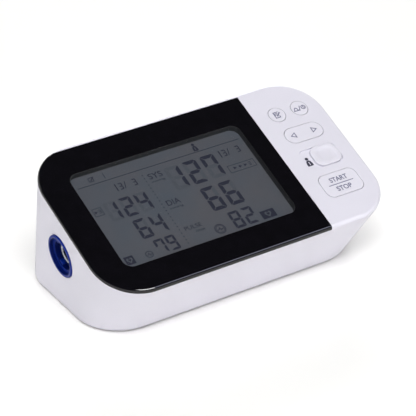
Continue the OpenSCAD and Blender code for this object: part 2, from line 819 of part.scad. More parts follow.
key_spots = [[key_u - round_key_pitch / 2, round_key_v], [key_u + round_key_pitch / 2, round_key_v],
             [key_u - rocker_arm, rocker_v], [key_u + rocker_arm, rocker_v], [key_u, start_v]];

module key_switches() {
    color([0.2, 0.2, 0.22]) on_top() for (p = key_spots)
        translate([p[0], p[1], -board_drop]) difference() {
            translate([0, 0, tact_h / 2]) cube([tact_size, tact_size, tact_h], center = true);
            translate([0, 0, tact_h - tact_well_depth]) cylinder(r = tact_well_r, h = tact_h);
        }
}

module slide_switch() {
    color(steel) on_top() translate([key_u, switch_v, -board_drop]) difference() {
        translate([0, 0, slide_body[2] / 2]) cube(slide_body, center = true);
        translate([0, 0, slide_body[2]])
            cube([lever_size + slider_travel + 2 * key_gap, lever_size + 2 * key_gap, 5], center = true);
    }
}

// Frame of the board's underside: u and v from the middle of the board, Z away from it.
module under_board(u, v) {
    on_top() translate([board_mid[0] + u, board_mid[1] + v, -board_drop - board_t]) mirror([0, 0, 1])
        children();
}

module block(size) {
    translate([-size[0] / 2, -size[1] / 2, 0]) cube(size);
}

chip_size = [14, 14, 1.6];
capacitor_size = [3.2, 2, 1.2];
memory_size = [6, 5, 1.4];
radio_size = [12, 16, 2.2];
reservoir_d = 6.3;
reservoir_h = 4;
buzzer_d = 14;
buzzer_h = 5;
buzzer_port_d = 2;
buzzer_port_depth = 2;
buzzer_inset = [30.3, 30.7];    // of its axis from the board's right and front edges

module main_chip() {
    color([0.1, 0.1, 0.11]) under_board(-32, -2) block(chip_size);
}

// Capacitors, memory and radio module on the underside of the board.
module board_parts() {
    color([0.3, 0.25, 0.2]) {
        for (p = [[-52, -12], [-46, -12], [-40, -16], [-12, 10], [22, -2], [28, -2]])
            under_board(p[0], p[1]) block(capacitor_size);
        under_board(-20, -2) block(memory_size);
        under_board(46, 12) block(radio_size);
        under_board(28, 22) cylinder(d = reservoir_d, h = reservoir_h);
    }
}

module buzzer() {
    color([0.08, 0.08, 0.08])
        under_board(board_u1 - board_mid[0] - buzzer_inset[0], board_v0 - board_mid[1] + buzzer_inset[1])
            difference() {
                cylinder(d = buzzer_d, h = buzzer_h);
                translate([0, 0, buzzer_h - buzzer_port_depth]) cylinder(d = buzzer_port_d, h = buzzer_h);
            }
}

module pressure_sensor() {
    color([0.92, 0.92, 0.9]) on_top() translate([sensor_u, sensor_v, 0]) difference() {
        union() {
            box([-sensor_size[0] / 2, -sensor_size[1] / 2, -sensor_drop],
                [sensor_size[0] / 2, sensor_size[1] / 2, -board_drop - board_t]);
            translate([0, 0, -sensor_drop - nozzle_len]) cylinder(d = nozzle_d, h = nozzle_len);
        }
        translate([0, 0, -sensor_drop - nozzle_len - 1]) cylinder(d = channel_d, h = nozzle_len + 4);
    }
}

connector_size = [8, 5, 5];
connector_drop = board_drop + board_t + connector_size[2];
connector_spots = [[box_x0 + 1, 46], [pump_x0 + 4, 72], [valve_x1 - 10, 30]];
module board_connectors() {
    color([0.93, 0.92, 0.87]) on_top() for (p = connector_spots)
        translate([p[0], p[1], -connector_drop]) block(connector_size);
}

// ---------- keys ----------

// Foot of a key: a stem that dips into the well of its switch.
module key_stem() {
    translate([0, 0, -board_drop + tact_h - stem_dip])
        cylinder(r = stem_r, h = board_drop - tact_h + stem_dip - deck_t);
}

module round_key() {
    cylinder(d = round_key_d, h = deck_t + key_proud);
    translate([0, 0, -key_seat - key_flange_t]) {
        cylinder(d = round_key_d, h = key_seat + key_flange_t);
        cylinder(d = round_key_d + 2 * (key_gap + key_flange), h = key_flange_t);
    }
}

module round_button(s) {
    color(case_white) on_top() translate([key_u + s * round_key_pitch / 2, round_key_v, 0]) {
        translate([0, 0, -deck_t]) round_key();
        key_stem();
    }
}

module memory_button() {
    round_button(-1);
}

module average_button() {
    round_button(1);
}

module rocker_button() {
    color(case_white) on_top() translate([key_u, rocker_v, 0]) {
        rounded_slab(rocker_w, rocker_d, rocker_d / 2 - 0.01, -rocker_axis_drop + 0.8, key_proud);
        box([-rocker_arm - 2.5, -3, -rocker_axis_drop - 1.2], [rocker_arm + 2.5, 3, -rocker_axis_drop + 0.9]);
        translate([0, 0, -rocker_axis_drop]) rotate([90, 0, 0])
            cylinder(r = rocker_pin_r, h = rocker_d + 2 * (key_gap + rocker_bracket_t) - 0.6, center = true);
        for (s = [-1, 1])
            translate([s * rocker_arm, 0, -board_drop + tact_h - stem_dip])
                cylinder(r = stem_r - 0.2, h = board_drop - tact_h + stem_dip - rocker_axis_drop);
    }
}

module start_stop_button() {
    w = start_w;
    d = start_d;
    f = 2 * (key_gap + key_flange);
    color(case_white) on_top() translate([key_u, start_v, 0]) {
        rounded_slab(w, d, start_r, -deck_t - key_seat - key_flange_t, key_proud);
        rounded_slab(w + f, d + f, start_r + f / 2, -deck_t - key_seat - key_flange_t, -deck_t - key_seat);
        key_stem();
    }
}

module user_switch_slider() {
    slide_d = switch_d - 2 * key_gap;
    color(case_white) on_top() translate([slider_u, switch_v, 0]) {
        rounded_slab(slider_w, slide_d, 4.2, -switch_pocket + key_seat, 0.05);
        rounded_slab(slider_w - 4, slide_d - 3, 3.4, 0, slider_pad_h * 0.6);
        rounded_slab(slider_w - 6, slide_d - 5, 2.8, 0, slider_pad_h);
        box([-neck_w / 2, -neck_d / 2, -deck_t - key_seat - 1],
            [neck_w / 2, neck_d / 2, -switch_pocket + key_seat]);
        box([-5, -4, -deck_t - key_seat - 1], [5, 4, -deck_t - key_seat]);
        box([-lever_size / 2, -lever_size / 2, -board_drop + slide_body[2] - 1.6],
            [lever_size / 2, lever_size / 2, -deck_t - key_seat - 0.9]);
    }
}

// ---------- air connector ----------

module air_socket() {
    color(socket_blue) at_socket() difference() {
        union() {
            translate([0, 0, -socket_sink]) cylinder(d = socket_flange_d, h = socket_sink + socket_proud);
            translate([0, 0, -socket_len]) cylinder(d = socket_body_d, h = socket_len);
            translate([0, 0, -socket_len - nozzle_len]) cylinder(d = nozzle_d, h = nozzle_len + 0.1);
        }
        translate([0, 0, socket_proud - socket_mouth_depth]) cylinder(d = socket_mouth_d, h = far);
        translate([0, 0, socket_proud - socket_mouth_depth - socket_bore_len])
            cylinder(d = socket_bore_d, h = far);
        translate([0, 0, -socket_len - nozzle_len - 1]) cylinder(d = channel_d, h = far);
    }
}

module socket_seal() {
    color(rubber_grey) at_socket() translate([0, 0, -socket_pad - seal_t]) difference() {
        cylinder(r = nut_r, h = seal_t);
        translate([0, 0, -1]) cylinder(d = socket_body_d + fit_gap, h = seal_t + 2);
    }
}

module socket_nut() {
    color([0.8, 0.8, 0.8]) at_socket() translate([0, 0, -socket_pad - seal_t - nut_t]) difference() {
        cylinder(r = nut_r, h = nut_t);
        translate([0, 0, -1]) cylinder(d = socket_body_d + 0.1, h = nut_t + 2);
        for (a = [0 : 60 : 300])
            rotate([0, 0, a]) translate([nut_r, 0, nut_t / 2]) cube([2, 4, nut_t + 2], center = true);
    }
}

module at_inlet() {
    translate([inlet_x1, inlet_y, inlet_z]) children();
}

module power_inlet() {
    color([0.09, 0.09, 0.1]) at_inlet() difference() {
        union() {
            translate([-inlet_size[0] / 2, 0, 0]) cube(inlet_size, center = true);
            rod_x(inlet_nose_r, -1, inlet_nose_len);
        }
        rod_x(inlet_bore_d / 2, inlet_stop, inlet_nose_len + 1);
        rod_x(inlet_pin_d / 2, inlet_stop - inlet_pin_seat, inlet_stop + 1);
    }
}

module inlet_pin() {
    color(steel) at_inlet() rod_x(inlet_pin_d / 2, inlet_stop - inlet_pin_seat, inlet_nose_len - 1);
}

// ---------- batteries ----------

function cell_y(i) = box_y0 + cell_play + cell_pitch * i + cell_d / 2;
function cell_turn(i) = i % 2 == 0 ? 1 : -1;
box_mid_x = (box_x0 + box_x1) / 2;
cell_nub = 1.3;
cell_nub_r = 2.7;
battery_spring_r = [4.6, 3];
battery_spring_t = 0.8;

module battery_cells() {
    can = cell_len - cell_nub;
    color([0.2, 0.35, 0.6]) for (i = [0 : cell_count - 1])
        translate([box_mid_x + cell_turn(i) * (spring_len / 2), cell_y(i), cell_z]) {
            rod_x(cell_d / 2, -can / 2 - cell_turn(i) * cell_nub / 2, can / 2 - cell_turn(i) * cell_nub / 2);
            if (cell_turn(i) > 0) rod_x(cell_nub_r, cell_len / 2 - cell_nub - 0.1, cell_len / 2);
            else rod_x(cell_nub_r, -cell_len / 2, -cell_len / 2 + cell_nub + 0.1);
        }
}

module battery_springs() {
    reach = spring_len - 0.1;
    color(steel) for (i = [0 : cell_count - 1])
        translate([box_mid_x - cell_turn(i) * (box_len / 2 - contact_t), cell_y(i), cell_z])
            rotate([0, cell_turn(i) * 90, 0]) difference() {
                cylinder(r1 = battery_spring_r[0], r2 = battery_spring_r[1], h = reach);
                translate([0, 0, -skin])
                    cylinder(r1 = battery_spring_r[0] - battery_spring_t,
                             r2 = battery_spring_r[1] - battery_spring_t, h = reach + 2 * skin);
            }
}

module battery_contacts() {
    color(steel) for (i = [0 : cell_count - 1], s = [-1, 1])
        translate([box_mid_x + s * (box_len / 2 - contact_t / 2), cell_y(i), cell_z])
            cube([contact_t, cell_d - 3, cell_d - 3], center = true);
}

module battery_door() {
    x0 = box_x0 + door_gap;
    x1 = box_x1 - door_gap;
    y1 = box_y1 - door_gap;
    color(case_white) difference() {
        union() {
            box([x0, hinge_y, door_z0], [x1, y1, door_z0 + door_t]);
            translate([0, hinge_y, hinge_z]) rod_x(hinge_r, x0, x1);
            translate([0, hinge_y, hinge_z])
                rod_x(hinge_pin_r, box_x0 - hinge_pin_len, box_x1 + hinge_pin_len);
            box([box_mid_x - latch_w / 2, y1 - latch_t, door_z0 + door_t - 0.1],
                [box_mid_x + latch_w / 2, y1, door_z0 + door_t + latch_h]);
        }
        translate([box_mid_x, y1 - grip_d, door_z0])
            rounded_slab(grip_w, grip_d, grip_d / 2 - 0.5, -1, grip_depth);
    }
}

// ---------- pump ----------

module at_pump() {
    translate([0, pump_y, pump_z]) children();
}

module motor_can() {
    color(steel) at_pump() difference() {
        rod_x(motor_d / 2, pump_x0, pump_x1);
        rod_x(motor_d / 2 - can_t, pump_x0 - 1, pump_x1 - can_end_t);
        rod_x(shaft_r + running_gap, pump_x0, pump_x1 + 1);
    }
}

module motor_end_cap() {
    color([0.15, 0.15, 0.16]) at_pump() difference() {
        union() {
            rod_x(motor_d / 2 - can_t, pump_x0, pump_x0 + cap_t);
            rod_x(cap_boss_r, pump_x0, pump_x0 + cap_boss_len);
            for (s = [-1, 1])
                box([pump_x0 - terminal_len, s * terminal_y - 1, -terminal_t / 2],
                    [pump_x0 + 1, s * terminal_y + 1, terminal_t / 2]);
        }
        rod_x(shaft_r + running_gap, pump_x0 + 1, pump_x0 + cap_boss_len + 1);
    }
}

module motor_magnets() {
    color([0.35, 0.33, 0.33]) at_pump() difference() {
        rod_x(motor_d / 2 - can_t, pump_x0 + magnet_inset[0], pump_x1 - magnet_inset[1]);
        rod_x(rotor_r + rotor_gap, pump_x0, pump_x1);
        box([pump_x0, -2, -far], [pump_x1, 2, far]);
    }
}

module motor_rotor() {
    color(brass_tone) at_pump() {
        rod_x(rotor_r, pump_x0 + rotor_inset[0], pump_x1 - rotor_inset[1]);
        rod_x(shaft_r, pump_x0 + 1.5, pump_x1 + shaft_out);
        translate([0, 0, hub_offset]) rod_x(hub_r, pump_x1 + shaft_out - hub_len, pump_x1 + shaft_out);
    }
}

module pump_housing() {
    color([0.88, 0.88, 0.86]) at_pump() difference() {
        rod_x(pump_d / 2, pump_x1, pump_x2);
        rod_x(pump_d / 2 - chamber_wall, pump_x1 - 1, pump_x1 + chamber_depth);
        for (a = [0 : 120 : 240])
            rotate([a, 0, 0]) translate([0, 0, cylinder_pitch_r]) rod_x(cylinder_r, pump_x1, pump_x2 + 1);
    }
}

module pump_diaphragm() {
    color(rubber_grey) at_pump() rod_x(pump_d / 2, pump_x2, pump_x2 + diaphragm_t);
}

module pump_cover() {
    x = pump_x2 + diaphragm_t;
    color([0.88, 0.88, 0.86]) at_pump() difference() {
        union() {
            rod_x(pump_d / 2, x, pump_x3);
            rod_x(nozzle_d / 2, pump_x3 - 1, pump_x3 + nozzle_len);
        }
        rod_x(channel_d / 2, x - 1, pump_x3 + nozzle_len + 1);
    }
}

module pump_sleeve() {
    color([0.18, 0.18, 0.19]) at_pump() difference() {
        rod_x(sleeve_r, strap_x - sleeve_len / 2, strap_x + sleeve_len / 2);
        rod_x(motor_d / 2, strap_x - sleeve_len, strap_x + sleeve_len);
    }
}

module pump_strap() {
    r = sleeve_r + saddle_gap;
    x0 = strap_x - strap_w / 2;
    x1 = strap_x + strap_w / 2;
    color(steel) difference() {
        union() {
            at_pump() difference() {
                union() {
                    rod_x(r + strap_t, x0, x1);
                    box([x0, -r - strap_t, strap_base_z - pump_z], [x1, r + strap_t, 0]);
                }
                rod_x(r, x0 - 1, x1 + 1);
                box([x0 - 1, -r, -far], [x1 + 1, r, 0]);
                box([x0 - 1, -far, -far], [x1 + 1, far, strap_base_z - pump_z]);
            }
            for (s = [-1, 1])
                translate([strap_x, pump_y + s * strap_dy, strap_base_z + strap_t / 2])
                    cube([strap_w, strap_foot, strap_t], center = true);
        }
        for (s = [-1, 1])
            translate([strap_x, pump_y + s * strap_dy, 0]) cylinder(r = strap_screw_r + 0.25, h = far);
    }
}

module strap_screws() {
    color(steel) for (s = [-1, 1])
        translate([strap_x, pump_y + s * strap_dy, strap_base_z]) {
            translate([0, 0, strap_t]) cylinder(r = strap_head_r, h = strap_head_h);
            translate([0, 0, -strap_screw_len]) cylinder(r = strap_screw_r, h = strap_screw_len + strap_t);
        }
}

// ---------- release valve ----------

module at_valve() {
    translate([valve_x1, valve_y, valve_z]) children();
}

coil_x0 = -valve_len + valve_wall + bobbin_flange;
coil_x1 = -seat_t - bobbin_flange;

module valve_can() {
    color(steel) at_valve() difference() {
        rod_x(valve_d / 2, -valve_len, 0);
        rod_x(valve_d / 2 - valve_wall, -valve_len + valve_wall, 1);
    }
}

module valve_bobbin() {
    color([0.9, 0.88, 0.8]) at_valve() difference() {
        union() {
            rod_x(bobbin_r, -valve_len + valve_wall, -seat_t);
            rod_x(valve_d / 2 - valve_wall - bobbin_play, -valve_len + valve_wall, coil_x0);
            rod_x(valve_d / 2 - valve_wall - bobbin_play, coil_x1, -seat_t);
        }
        rod_x(plunger_r + 0.2, -valve_len, 0);
    }
}

module valve_coil() {
    color([0.72, 0.4, 0.2]) at_valve() difference() {
        rod_x(valve_d / 2 - valve_wall - 0.4, coil_x0 + coil_play, coil_x1 - coil_play);
        rod_x(bobbin_r + coil_play, coil_x0 - 1, coil_x1 + 1);
    }
}

module valve_plunger() {
    color([0.6, 0.61, 0.63]) at_valve() {
        rod_x(plunger_r, -valve_len + valve_wall + spring_room + 0.2, -seat_t - valve_stroke - 0.1);
        rod_x(guide_pin_r, -valve_len + valve_wall + 1, -valve_len + valve_wall + spring_room + 1);
    }
}

module valve_spring() {
    color(steel) at_valve() difference() {
        rod_x(spring_r, -valve_len + valve_wall, -valve_len + valve_wall + spring_room);
        rod_x(spring_r - spring_t, -valve_len, -valve_len + spring_room + 2);
    }
}

module valve_seat() {
    color([0.85, 0.85, 0.82]) at_valve() difference() {
        union() {
            rod_x(valve_d / 2 - valve_wall - bobbin_play, -seat_t, 0);
            rod_x(nozzle_d / 2, -1, nozzle_len);
        }
        rod_x(channel_d / 2, -seat_t - 1, nozzle_len + 1);
    }
}

// ---------- manifold and hoses ----------

manifold_arms = [[0, -90, 0], [-90, 0, 0], [90, 0, 0], [0, 0, 0]];  // left, back, front and up

module air_manifold() {
    color([0.9, 0.9, 0.88]) translate(manifold) difference() {
        union() {
            cube(manifold_size, center = true);
            for (a = manifold_arms) rotate(a) cylinder(d = nozzle_d, h = manifold_size / 2 + nozzle_len);
        }
        for (a = manifold_arms) rotate(a) cylinder(d = channel_d, h = manifold_size);
        for (a = manifold_arms)
            rotate(a) translate([0, 0, manifold_size / 2]) cylinder(d = channel_d, h = nozzle_len + 1);
    }
}

hose_sides = 10;
hose_steps = 12;
hose_bore_r = (nozzle_d / 2 + 0.05) / cos(180 / hose_sides);
arm = manifold_size / 2;
socket_out = [cos(socket_draft), 0, sin(socket_draft)];
socket_port = [socket_x, socket_y, socket_z] + socket_len * socket_out;
pump_port = [pump_x3, pump_y, pump_z];
valve_port = [valve_x1, valve_y, valve_z];
sensor_port = top_point(sensor_u, sensor_v, -sensor_drop);

module hose(p, dir_p, q, dir_q, side, reach) {
    color(silicone)
        swept_tube(hose_route(p, dir_p, q, dir_q, nozzle_len, reach, hose_steps), side, hose_d / 2,
                   hose_bore_r, hose_sides);
}

module socket_hose() {
    hose(socket_port, socket_out, manifold - [arm, 0, 0], [-1, 0, 0], [0, 1, 0], 22);
}

module pump_hose() {
    hose(pump_port, [1, 0, 0], manifold + [0, arm, 0], [0, 1, 0], [0, 0, 1], 7);
}

module valve_hose() {
    hose(valve_port, [1, 0, 0], manifold - [0, arm, 0], [0, -1, 0], [0, 0, 1], 6);
}

module sensor_hose() {
    hose(sensor_port, into_case, manifold + [0, 0, arm], [0, 0, 1], [1, 0, 0], 5);
}

// ---------- leads ----------

lead_r = 0.7;
lead_pitch = 2.5;
lead_sides = 6;

// Pair of leads from a terminal to a connector under the board.
module lead_pair(p, dir_p, spread_p, spot, reach) {
    for (s = [-1, 1])
        swept_wire(hose_route(p + s * spread_p, dir_p,
                              top_point(spot[0] + s * lead_pitch / 2, spot[1], -connector_drop),
                              into_case, 0.6, reach, hose_steps), [0.05, 1, 0.2], lead_r, lead_sides);
}

module battery_leads() {
    color([0.7, 0.1, 0.1])
        lead_pair([box_x0 + 4, box_y0 + 6, box_top_z + box_t], [0, 0, 1], [lead_pitch / 2, 0, 0],
                  connector_spots[0], 8);
}

module motor_leads() {
    color([0.1, 0.1, 0.1])
        lead_pair([pump_x0 - terminal_len + lead_r, pump_y, pump_z + terminal_t / 2], [0, 0, 1],
                  [0, terminal_y, 0], connector_spots[1], 28);
}

module valve_leads() {
    color([0.1, 0.2, 0.6])
        lead_pair([valve_x1 - valve_len / 2, valve_y, valve_z + valve_d / 2], [0, 0, 1],
                  [lead_pitch / 2, 0, 0], connector_spots[2], 10);
}

upper_case();
lower_case();
display_panel();
window_pane();
panel_tape();
display_frame();
display_glass();
light_guide();
contact_strips();
main_board();
board_screws();
key_switches();
slide_switch();
main_chip();
board_parts();
buzzer();
pressure_sensor();
board_connectors();
memory_button();
average_button();
rocker_button();
start_stop_button();
user_switch_slider();
air_socket();
socket_seal();
socket_nut();
power_inlet();
inlet_pin();
rubber_feet();
case_screws();
battery_door();
battery_cells();
battery_springs();
battery_contacts();
motor_can();
motor_end_cap();
motor_magnets();
motor_rotor();
pump_housing();
pump_diaphragm();
pump_cover();
pump_sleeve();
pump_strap();
strap_screws();
valve_can();
valve_bobbin();
valve_coil();
valve_plunger();
valve_spring();
valve_seat();
air_manifold();
socket_hose();
pump_hose();
valve_hose();
sensor_hose();
battery_leads();
motor_leads();
valve_leads();
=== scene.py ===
import json
import math

import bmesh
import bpy
from mathutils import Matrix, Vector


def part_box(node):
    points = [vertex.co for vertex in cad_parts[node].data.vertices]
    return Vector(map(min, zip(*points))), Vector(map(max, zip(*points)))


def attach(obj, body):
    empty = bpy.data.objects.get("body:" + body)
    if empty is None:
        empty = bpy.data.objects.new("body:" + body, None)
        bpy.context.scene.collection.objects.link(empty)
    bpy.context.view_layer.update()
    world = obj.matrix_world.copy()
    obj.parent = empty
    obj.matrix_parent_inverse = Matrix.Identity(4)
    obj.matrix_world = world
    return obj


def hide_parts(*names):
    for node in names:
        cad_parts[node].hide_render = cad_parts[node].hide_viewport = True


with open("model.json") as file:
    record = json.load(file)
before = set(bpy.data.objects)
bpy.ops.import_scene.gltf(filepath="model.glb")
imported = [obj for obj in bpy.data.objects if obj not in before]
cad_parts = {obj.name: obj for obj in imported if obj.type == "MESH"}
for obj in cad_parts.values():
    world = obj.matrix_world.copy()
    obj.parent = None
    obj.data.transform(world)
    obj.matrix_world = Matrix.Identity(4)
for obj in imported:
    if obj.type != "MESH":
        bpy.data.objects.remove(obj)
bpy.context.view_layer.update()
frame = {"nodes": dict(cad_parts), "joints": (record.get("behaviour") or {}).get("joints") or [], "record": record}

NODES = frame["nodes"]
MM = 0.001

# ---------- the sloping frame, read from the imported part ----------
JOINTS = {j["name"]: j for j in frame["joints"]}
NORMAL = -Vector(JOINTS["memory_press"]["axis"]).normalized()
SLOPE = Vector(JOINTS["rocker_tilt"]["axis"]).normalized()
RIGHT = Vector((1, 0, 0))
UP = Vector((0, 0, 1))


def extent(node, axis):
    """Lowest and highest reach of a CAD node along an axis, in metres."""
    reach = [v.co.dot(axis) for v in NODES[node].data.vertices]
    return min(reach), max(reach)


TOP_ORIGIN = SLOPE * extent("display_panel", SLOPE)[0] + NORMAL * extent("display_panel", NORMAL)[1]


def on_top(u, v, w=0.0):
    """Point given in millimetres: u to the right, v up the slope, w out of the sloping top."""
    return TOP_ORIGIN + (u * RIGHT + v * SLOPE + w * NORMAL) * MM


def span(node):
    """(centre u, centre v, width, depth, lowest w, highest w) of a CAD node in millimetres."""
    u0, u1 = (x / MM for x in extent(node, RIGHT))
    v0, v1 = ((x - TOP_ORIGIN.dot(SLOPE)) / MM for x in extent(node, SLOPE))
    w0, w1 = ((x - TOP_ORIGIN.dot(NORMAL)) / MM for x in extent(node, NORMAL))
    return (u0 + u1) / 2, (v0 + v1) / 2, u1 - u0, v1 - v0, w0, w1


# sizes of the case in millimetres, from the CAD's own boxes
CASE_LOW, CASE_HIGH = (Vector(c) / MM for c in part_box("upper_case"))
BASE_LOW, BASE_HIGH = (Vector(c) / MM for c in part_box("lower_case"))
UPPER = span("upper_case")
PANEL = span("display_panel")
WINDOW = span("window_pane")
SIDE_LEAN = 5.7                       # each side wall leans in by this much down to the base
HALF_W = CASE_HIGH.x
BASE_HALF_W = HALF_W - SIDE_LEAN
BASE_FRONT = BASE_LOW.y
BASE_BACK = BASE_HIGH.y
FOOT = BASE_LOW.z
SPLIT = CASE_LOW.z                    # height of the seam between the two halves
TOP_LEN = UPPER[1] + UPPER[3] / 2
PANEL_RIGHT = PANEL[0] + PANEL[2] / 2
PANEL_BACK = PANEL[1] + PANEL[3] / 2

# radii of the corners seen from above, and of the edges
CORNER = 27.2
CORNER_FRONT_RIGHT = 26
BASE_CORNER = 27.3
EDGE_TOP = 2.3
EDGE_BASE = 2.0

# thicknesses, and the level of the display glass against the top
WALL = 2.4
DECK = 2.4
PANEL_T = 2.6
GLASS_W = -4.4

# steps of the round forms
SHELL_STEPS = 24
TOP_EDGE_STEPS = 8
EDGE_STEPS = 5
LATHE_STEPS = 96
SHARP_ANGLE = 32                      # degrees; edges above it stay sharp

# ---------- materials ----------
FLOW_SCALE = 22                       # flow marks of moulded plastic
GRAIN_SCALE = 2600                    # its spark-eroded grain
GRAIN_HEIGHT = 2.2e-6
PEEL_HEIGHT = 2e-6                    # orange peel of glossy plastic


def new_material(name):
    """Empty node material: (material, node tree, principled shader)."""
    material = bpy.data.materials.new(name)
    material.use_nodes = True
    tree = material.node_tree
    tree.nodes.clear()
    output = tree.nodes.new("ShaderNodeOutputMaterial")
    shader = tree.nodes.new("ShaderNodeBsdfPrincipled")
    tree.links.new(shader.outputs["BSDF"], output.inputs["Surface"])
    return material, tree, shader


def noise(tree, scale, detail=3.0, rough=0.5, stretch=(1, 1, 1)):
    """Noise in the piece's own coordinates."""
    coord = tree.nodes.new("ShaderNodeTexCoord")
    mapping = tree.nodes.new("ShaderNodeMapping")
    mapping.inputs["Scale"].default_value = stretch
    tex = tree.nodes.new("ShaderNodeTexNoise")
    tex.inputs["Scale"].default_value = scale
    tex.inputs["Detail"].default_value = detail
    tex.inputs["Roughness"].default_value = rough
    tree.links.new(coord.outputs["Object"], mapping.inputs["Vector"])
    tree.links.new(mapping.outputs["Vector"], tex.inputs["Vector"])
    return tex.outputs["Fac"]


def ramp(tree, fac, low, high, stops=(0.3, 0.7)):
    """Colour that runs from low to high between two stops of a pattern."""
    node = tree.nodes.new("ShaderNodeValToRGB")
    for element, position, colour in zip(node.color_ramp.elements, stops, (low, high)):
        element.position = position
        element.color = (*colour, 1)
    tree.links.new(fac, node.inputs["Fac"])
    return node.outputs["Color"]


def shade(colour, k):
    return tuple(min(1.0, c * k) for c in colour)


def varied(tree, fac, colour, low, high, stops=(0.3, 0.7)):
    """The colour times a factor that a pattern moves from low to high."""
    return ramp(tree, fac, shade(colour, low), shade(colour, high), stops)


def spread(tree, fac, low, high):
    """A pattern's 0 to 1 mapped to low to high."""
    node = tree.nodes.new("ShaderNodeMapRange")
    node.inputs["To Min"].default_value = low
    node.inputs["To Max"].default_value = high
    tree.links.new(fac, node.inputs["Value"])
    return node.outputs["Result"]


def bump(tree, shader, height, strength, distance, onto=None):
    """Relief of a pattern, on top of an earlier one where given."""
    node = tree.nodes.new("ShaderNodeBump")
    node.inputs["Strength"].default_value = strength
    node.inputs["Distance"].default_value = distance
    tree.links.new(height, node.inputs["Height"])
    if onto is not None:
        tree.links.new(onto.outputs["Normal"], node.inputs["Normal"])
    tree.links.new(node.outputs["Normal"], shader.inputs["Normal"])
    return node


def moulded(name, colour, rough=(0.42, 0.52), drift=0.02, spec=0.5):
    """Injection-moulded plastic: fine spark-eroded grain, faint flow marks and uneven gloss."""
    material, tree, shader = new_material(name)
    flow = noise(tree, FLOW_SCALE, 2.0)
    grain = noise(tree, GRAIN_SCALE, 2.0, 0.6)
    tree.links.new(varied(tree, flow, colour, 1 - drift, 1 + drift), shader.inputs["Base Color"])
    tree.links.new(spread(tree, grain, *rough), shader.inputs["Roughness"])
    waves = bump(tree, shader, flow, 0.25, 2e-5)
    bump(tree, shader, grain, 0.6, GRAIN_HEIGHT, waves)
    shader.inputs["Specular IOR Level"].default_value = spec
    return material


def gloss(name, colour, rough=(0.035, 0.07)):
    """High-gloss plastic with a slight orange peel and faint wipe marks."""
    material, tree, shader = new_material(name)
    wide = noise(tree, 160, 2.0)
    wipe = noise(tree, 40, 4.0, 0.6, (1, 6, 1))
    tree.links.new(varied(tree, wide, colour, 0.85, 1.15, (0.35, 0.65)), shader.inputs["Base Color"])
    tree.links.new(spread(tree, wipe, *rough), shader.inputs["Roughness"])
    bump(tree, shader, wide, 0.15, PEEL_HEIGHT)
    shader.inputs["IOR"].default_value = 1.5
    return material


def metal(name, colour, rough=(0.25, 0.42), brushed=(1, 1, 1)):
    """Bare or plated metal, with brush marks where the noise is stretched."""
    material, tree, shader = new_material(name)
    fine = noise(tree, 900, 3.0, 0.6, brushed)
    tree.links.new(varied(tree, fine, colour, 0.86, 1.08), shader.inputs["Base Color"])
    tree.links.new(spread(tree, fine, *rough), shader.inputs["Roughness"])
    bump(tree, shader, fine, 0.3, 4e-6)
    shader.inputs["Metallic"].default_value = 1.0
    return material


def rubber(name, colour, sheen=0.15):
    """Matt rubber, foam or lead jacket with a dusty sheen."""
    material, tree, shader = new_material(name)
    fine = noise(tree, 1500, 4.0, 0.65)
    wide = noise(tree, 60, 2.0)
    tree.links.new(varied(tree, wide, colour, 0.85, 1.15), shader.inputs["Base Color"])
    tree.links.new(spread(tree, fine, 0.65, 0.85), shader.inputs["Roughness"])
    bump(tree, shader, fine, 0.5, 8e-6)
    shader.inputs["Sheen Weight"].default_value = sheen
    return material


def circuit_board(name):
    """Green solder mask over copper tracks."""
    material, tree, shader = new_material(name)
    coord = tree.nodes.new("ShaderNodeTexCoord")
    cells = tree.nodes.new("ShaderNodeTexVoronoi")
    cells.feature = "DISTANCE_TO_EDGE"
    cells.distance = "MANHATTAN"
    cells.inputs["Scale"].default_value = 240
    tree.links.new(coord.outputs["Object"], cells.inputs["Vector"])
    tracks = cells.outputs["Distance"]
    green = ramp(tree, tracks, (0.05, 0.26, 0.09), (0.012, 0.10, 0.035), (0.0, 0.06))
    tree.links.new(green, shader.inputs["Base Color"])
    bump(tree, shader, tracks, 0.4, 2e-5)
    shader.inputs["Roughness"].default_value = 0.35
    return material


def winding(name):
    """Lacquered copper wire in close turns."""
    material, tree, shader = new_material(name)
    coord = tree.nodes.new("ShaderNodeTexCoord")
    wave = tree.nodes.new("ShaderNodeTexWave")
    wave.inputs["Scale"].default_value = 900
    wave.inputs["Distortion"].default_value = 1.5
    tree.links.new(coord.outputs["Object"], wave.inputs["Vector"])
    turns = wave.outputs["Fac"]
    copper = ramp(tree, turns, (0.16, 0.05, 0.02), (0.62, 0.26, 0.10), (0.2, 0.7))
    tree.links.new(copper, shader.inputs["Base Color"])
    bump(tree, shader, turns, 0.6, 4e-5)
    shader.inputs["Metallic"].default_value = 0.8
    shader.inputs["Roughness"].default_value = 0.35
    return material


def clear_pane(name):
    """Clear window with faintly uneven gloss."""
    material, tree, shader = new_material(name)
    wide = noise(tree, 90, 2.0)
    tint = ramp(tree, wide, (0.04, 0.045, 0.05), (0.05, 0.055, 0.06))
    tree.links.new(tint, shader.inputs["Base Color"])
    tree.links.new(spread(tree, wide, 0.03, 0.06), shader.inputs["Roughness"])
    shader.inputs["Alpha"].default_value = 0.1
    shader.inputs["IOR"].default_value = 1.5
    return material


def liquid_crystal(name, colour, blue):
    """Reflective liquid-crystal cell: silvery grain under a bluish film that drifts across it."""
    material, tree, shader = new_material(name)
    wide = noise(tree, 26, 3.0, 0.6)
    fine = noise(tree, 3200, 2.0)
    tree.links.new(ramp(tree, wide, colour, blue, (0.35, 0.65)), shader.inputs["Base Color"])
    tree.links.new(spread(tree, fine, 0.35, 0.5), shader.inputs["Roughness"])
    bump(tree, shader, fine, 0.3, 2e-6)
    shader.inputs["Specular IOR Level"].default_value = 0.25
    return material


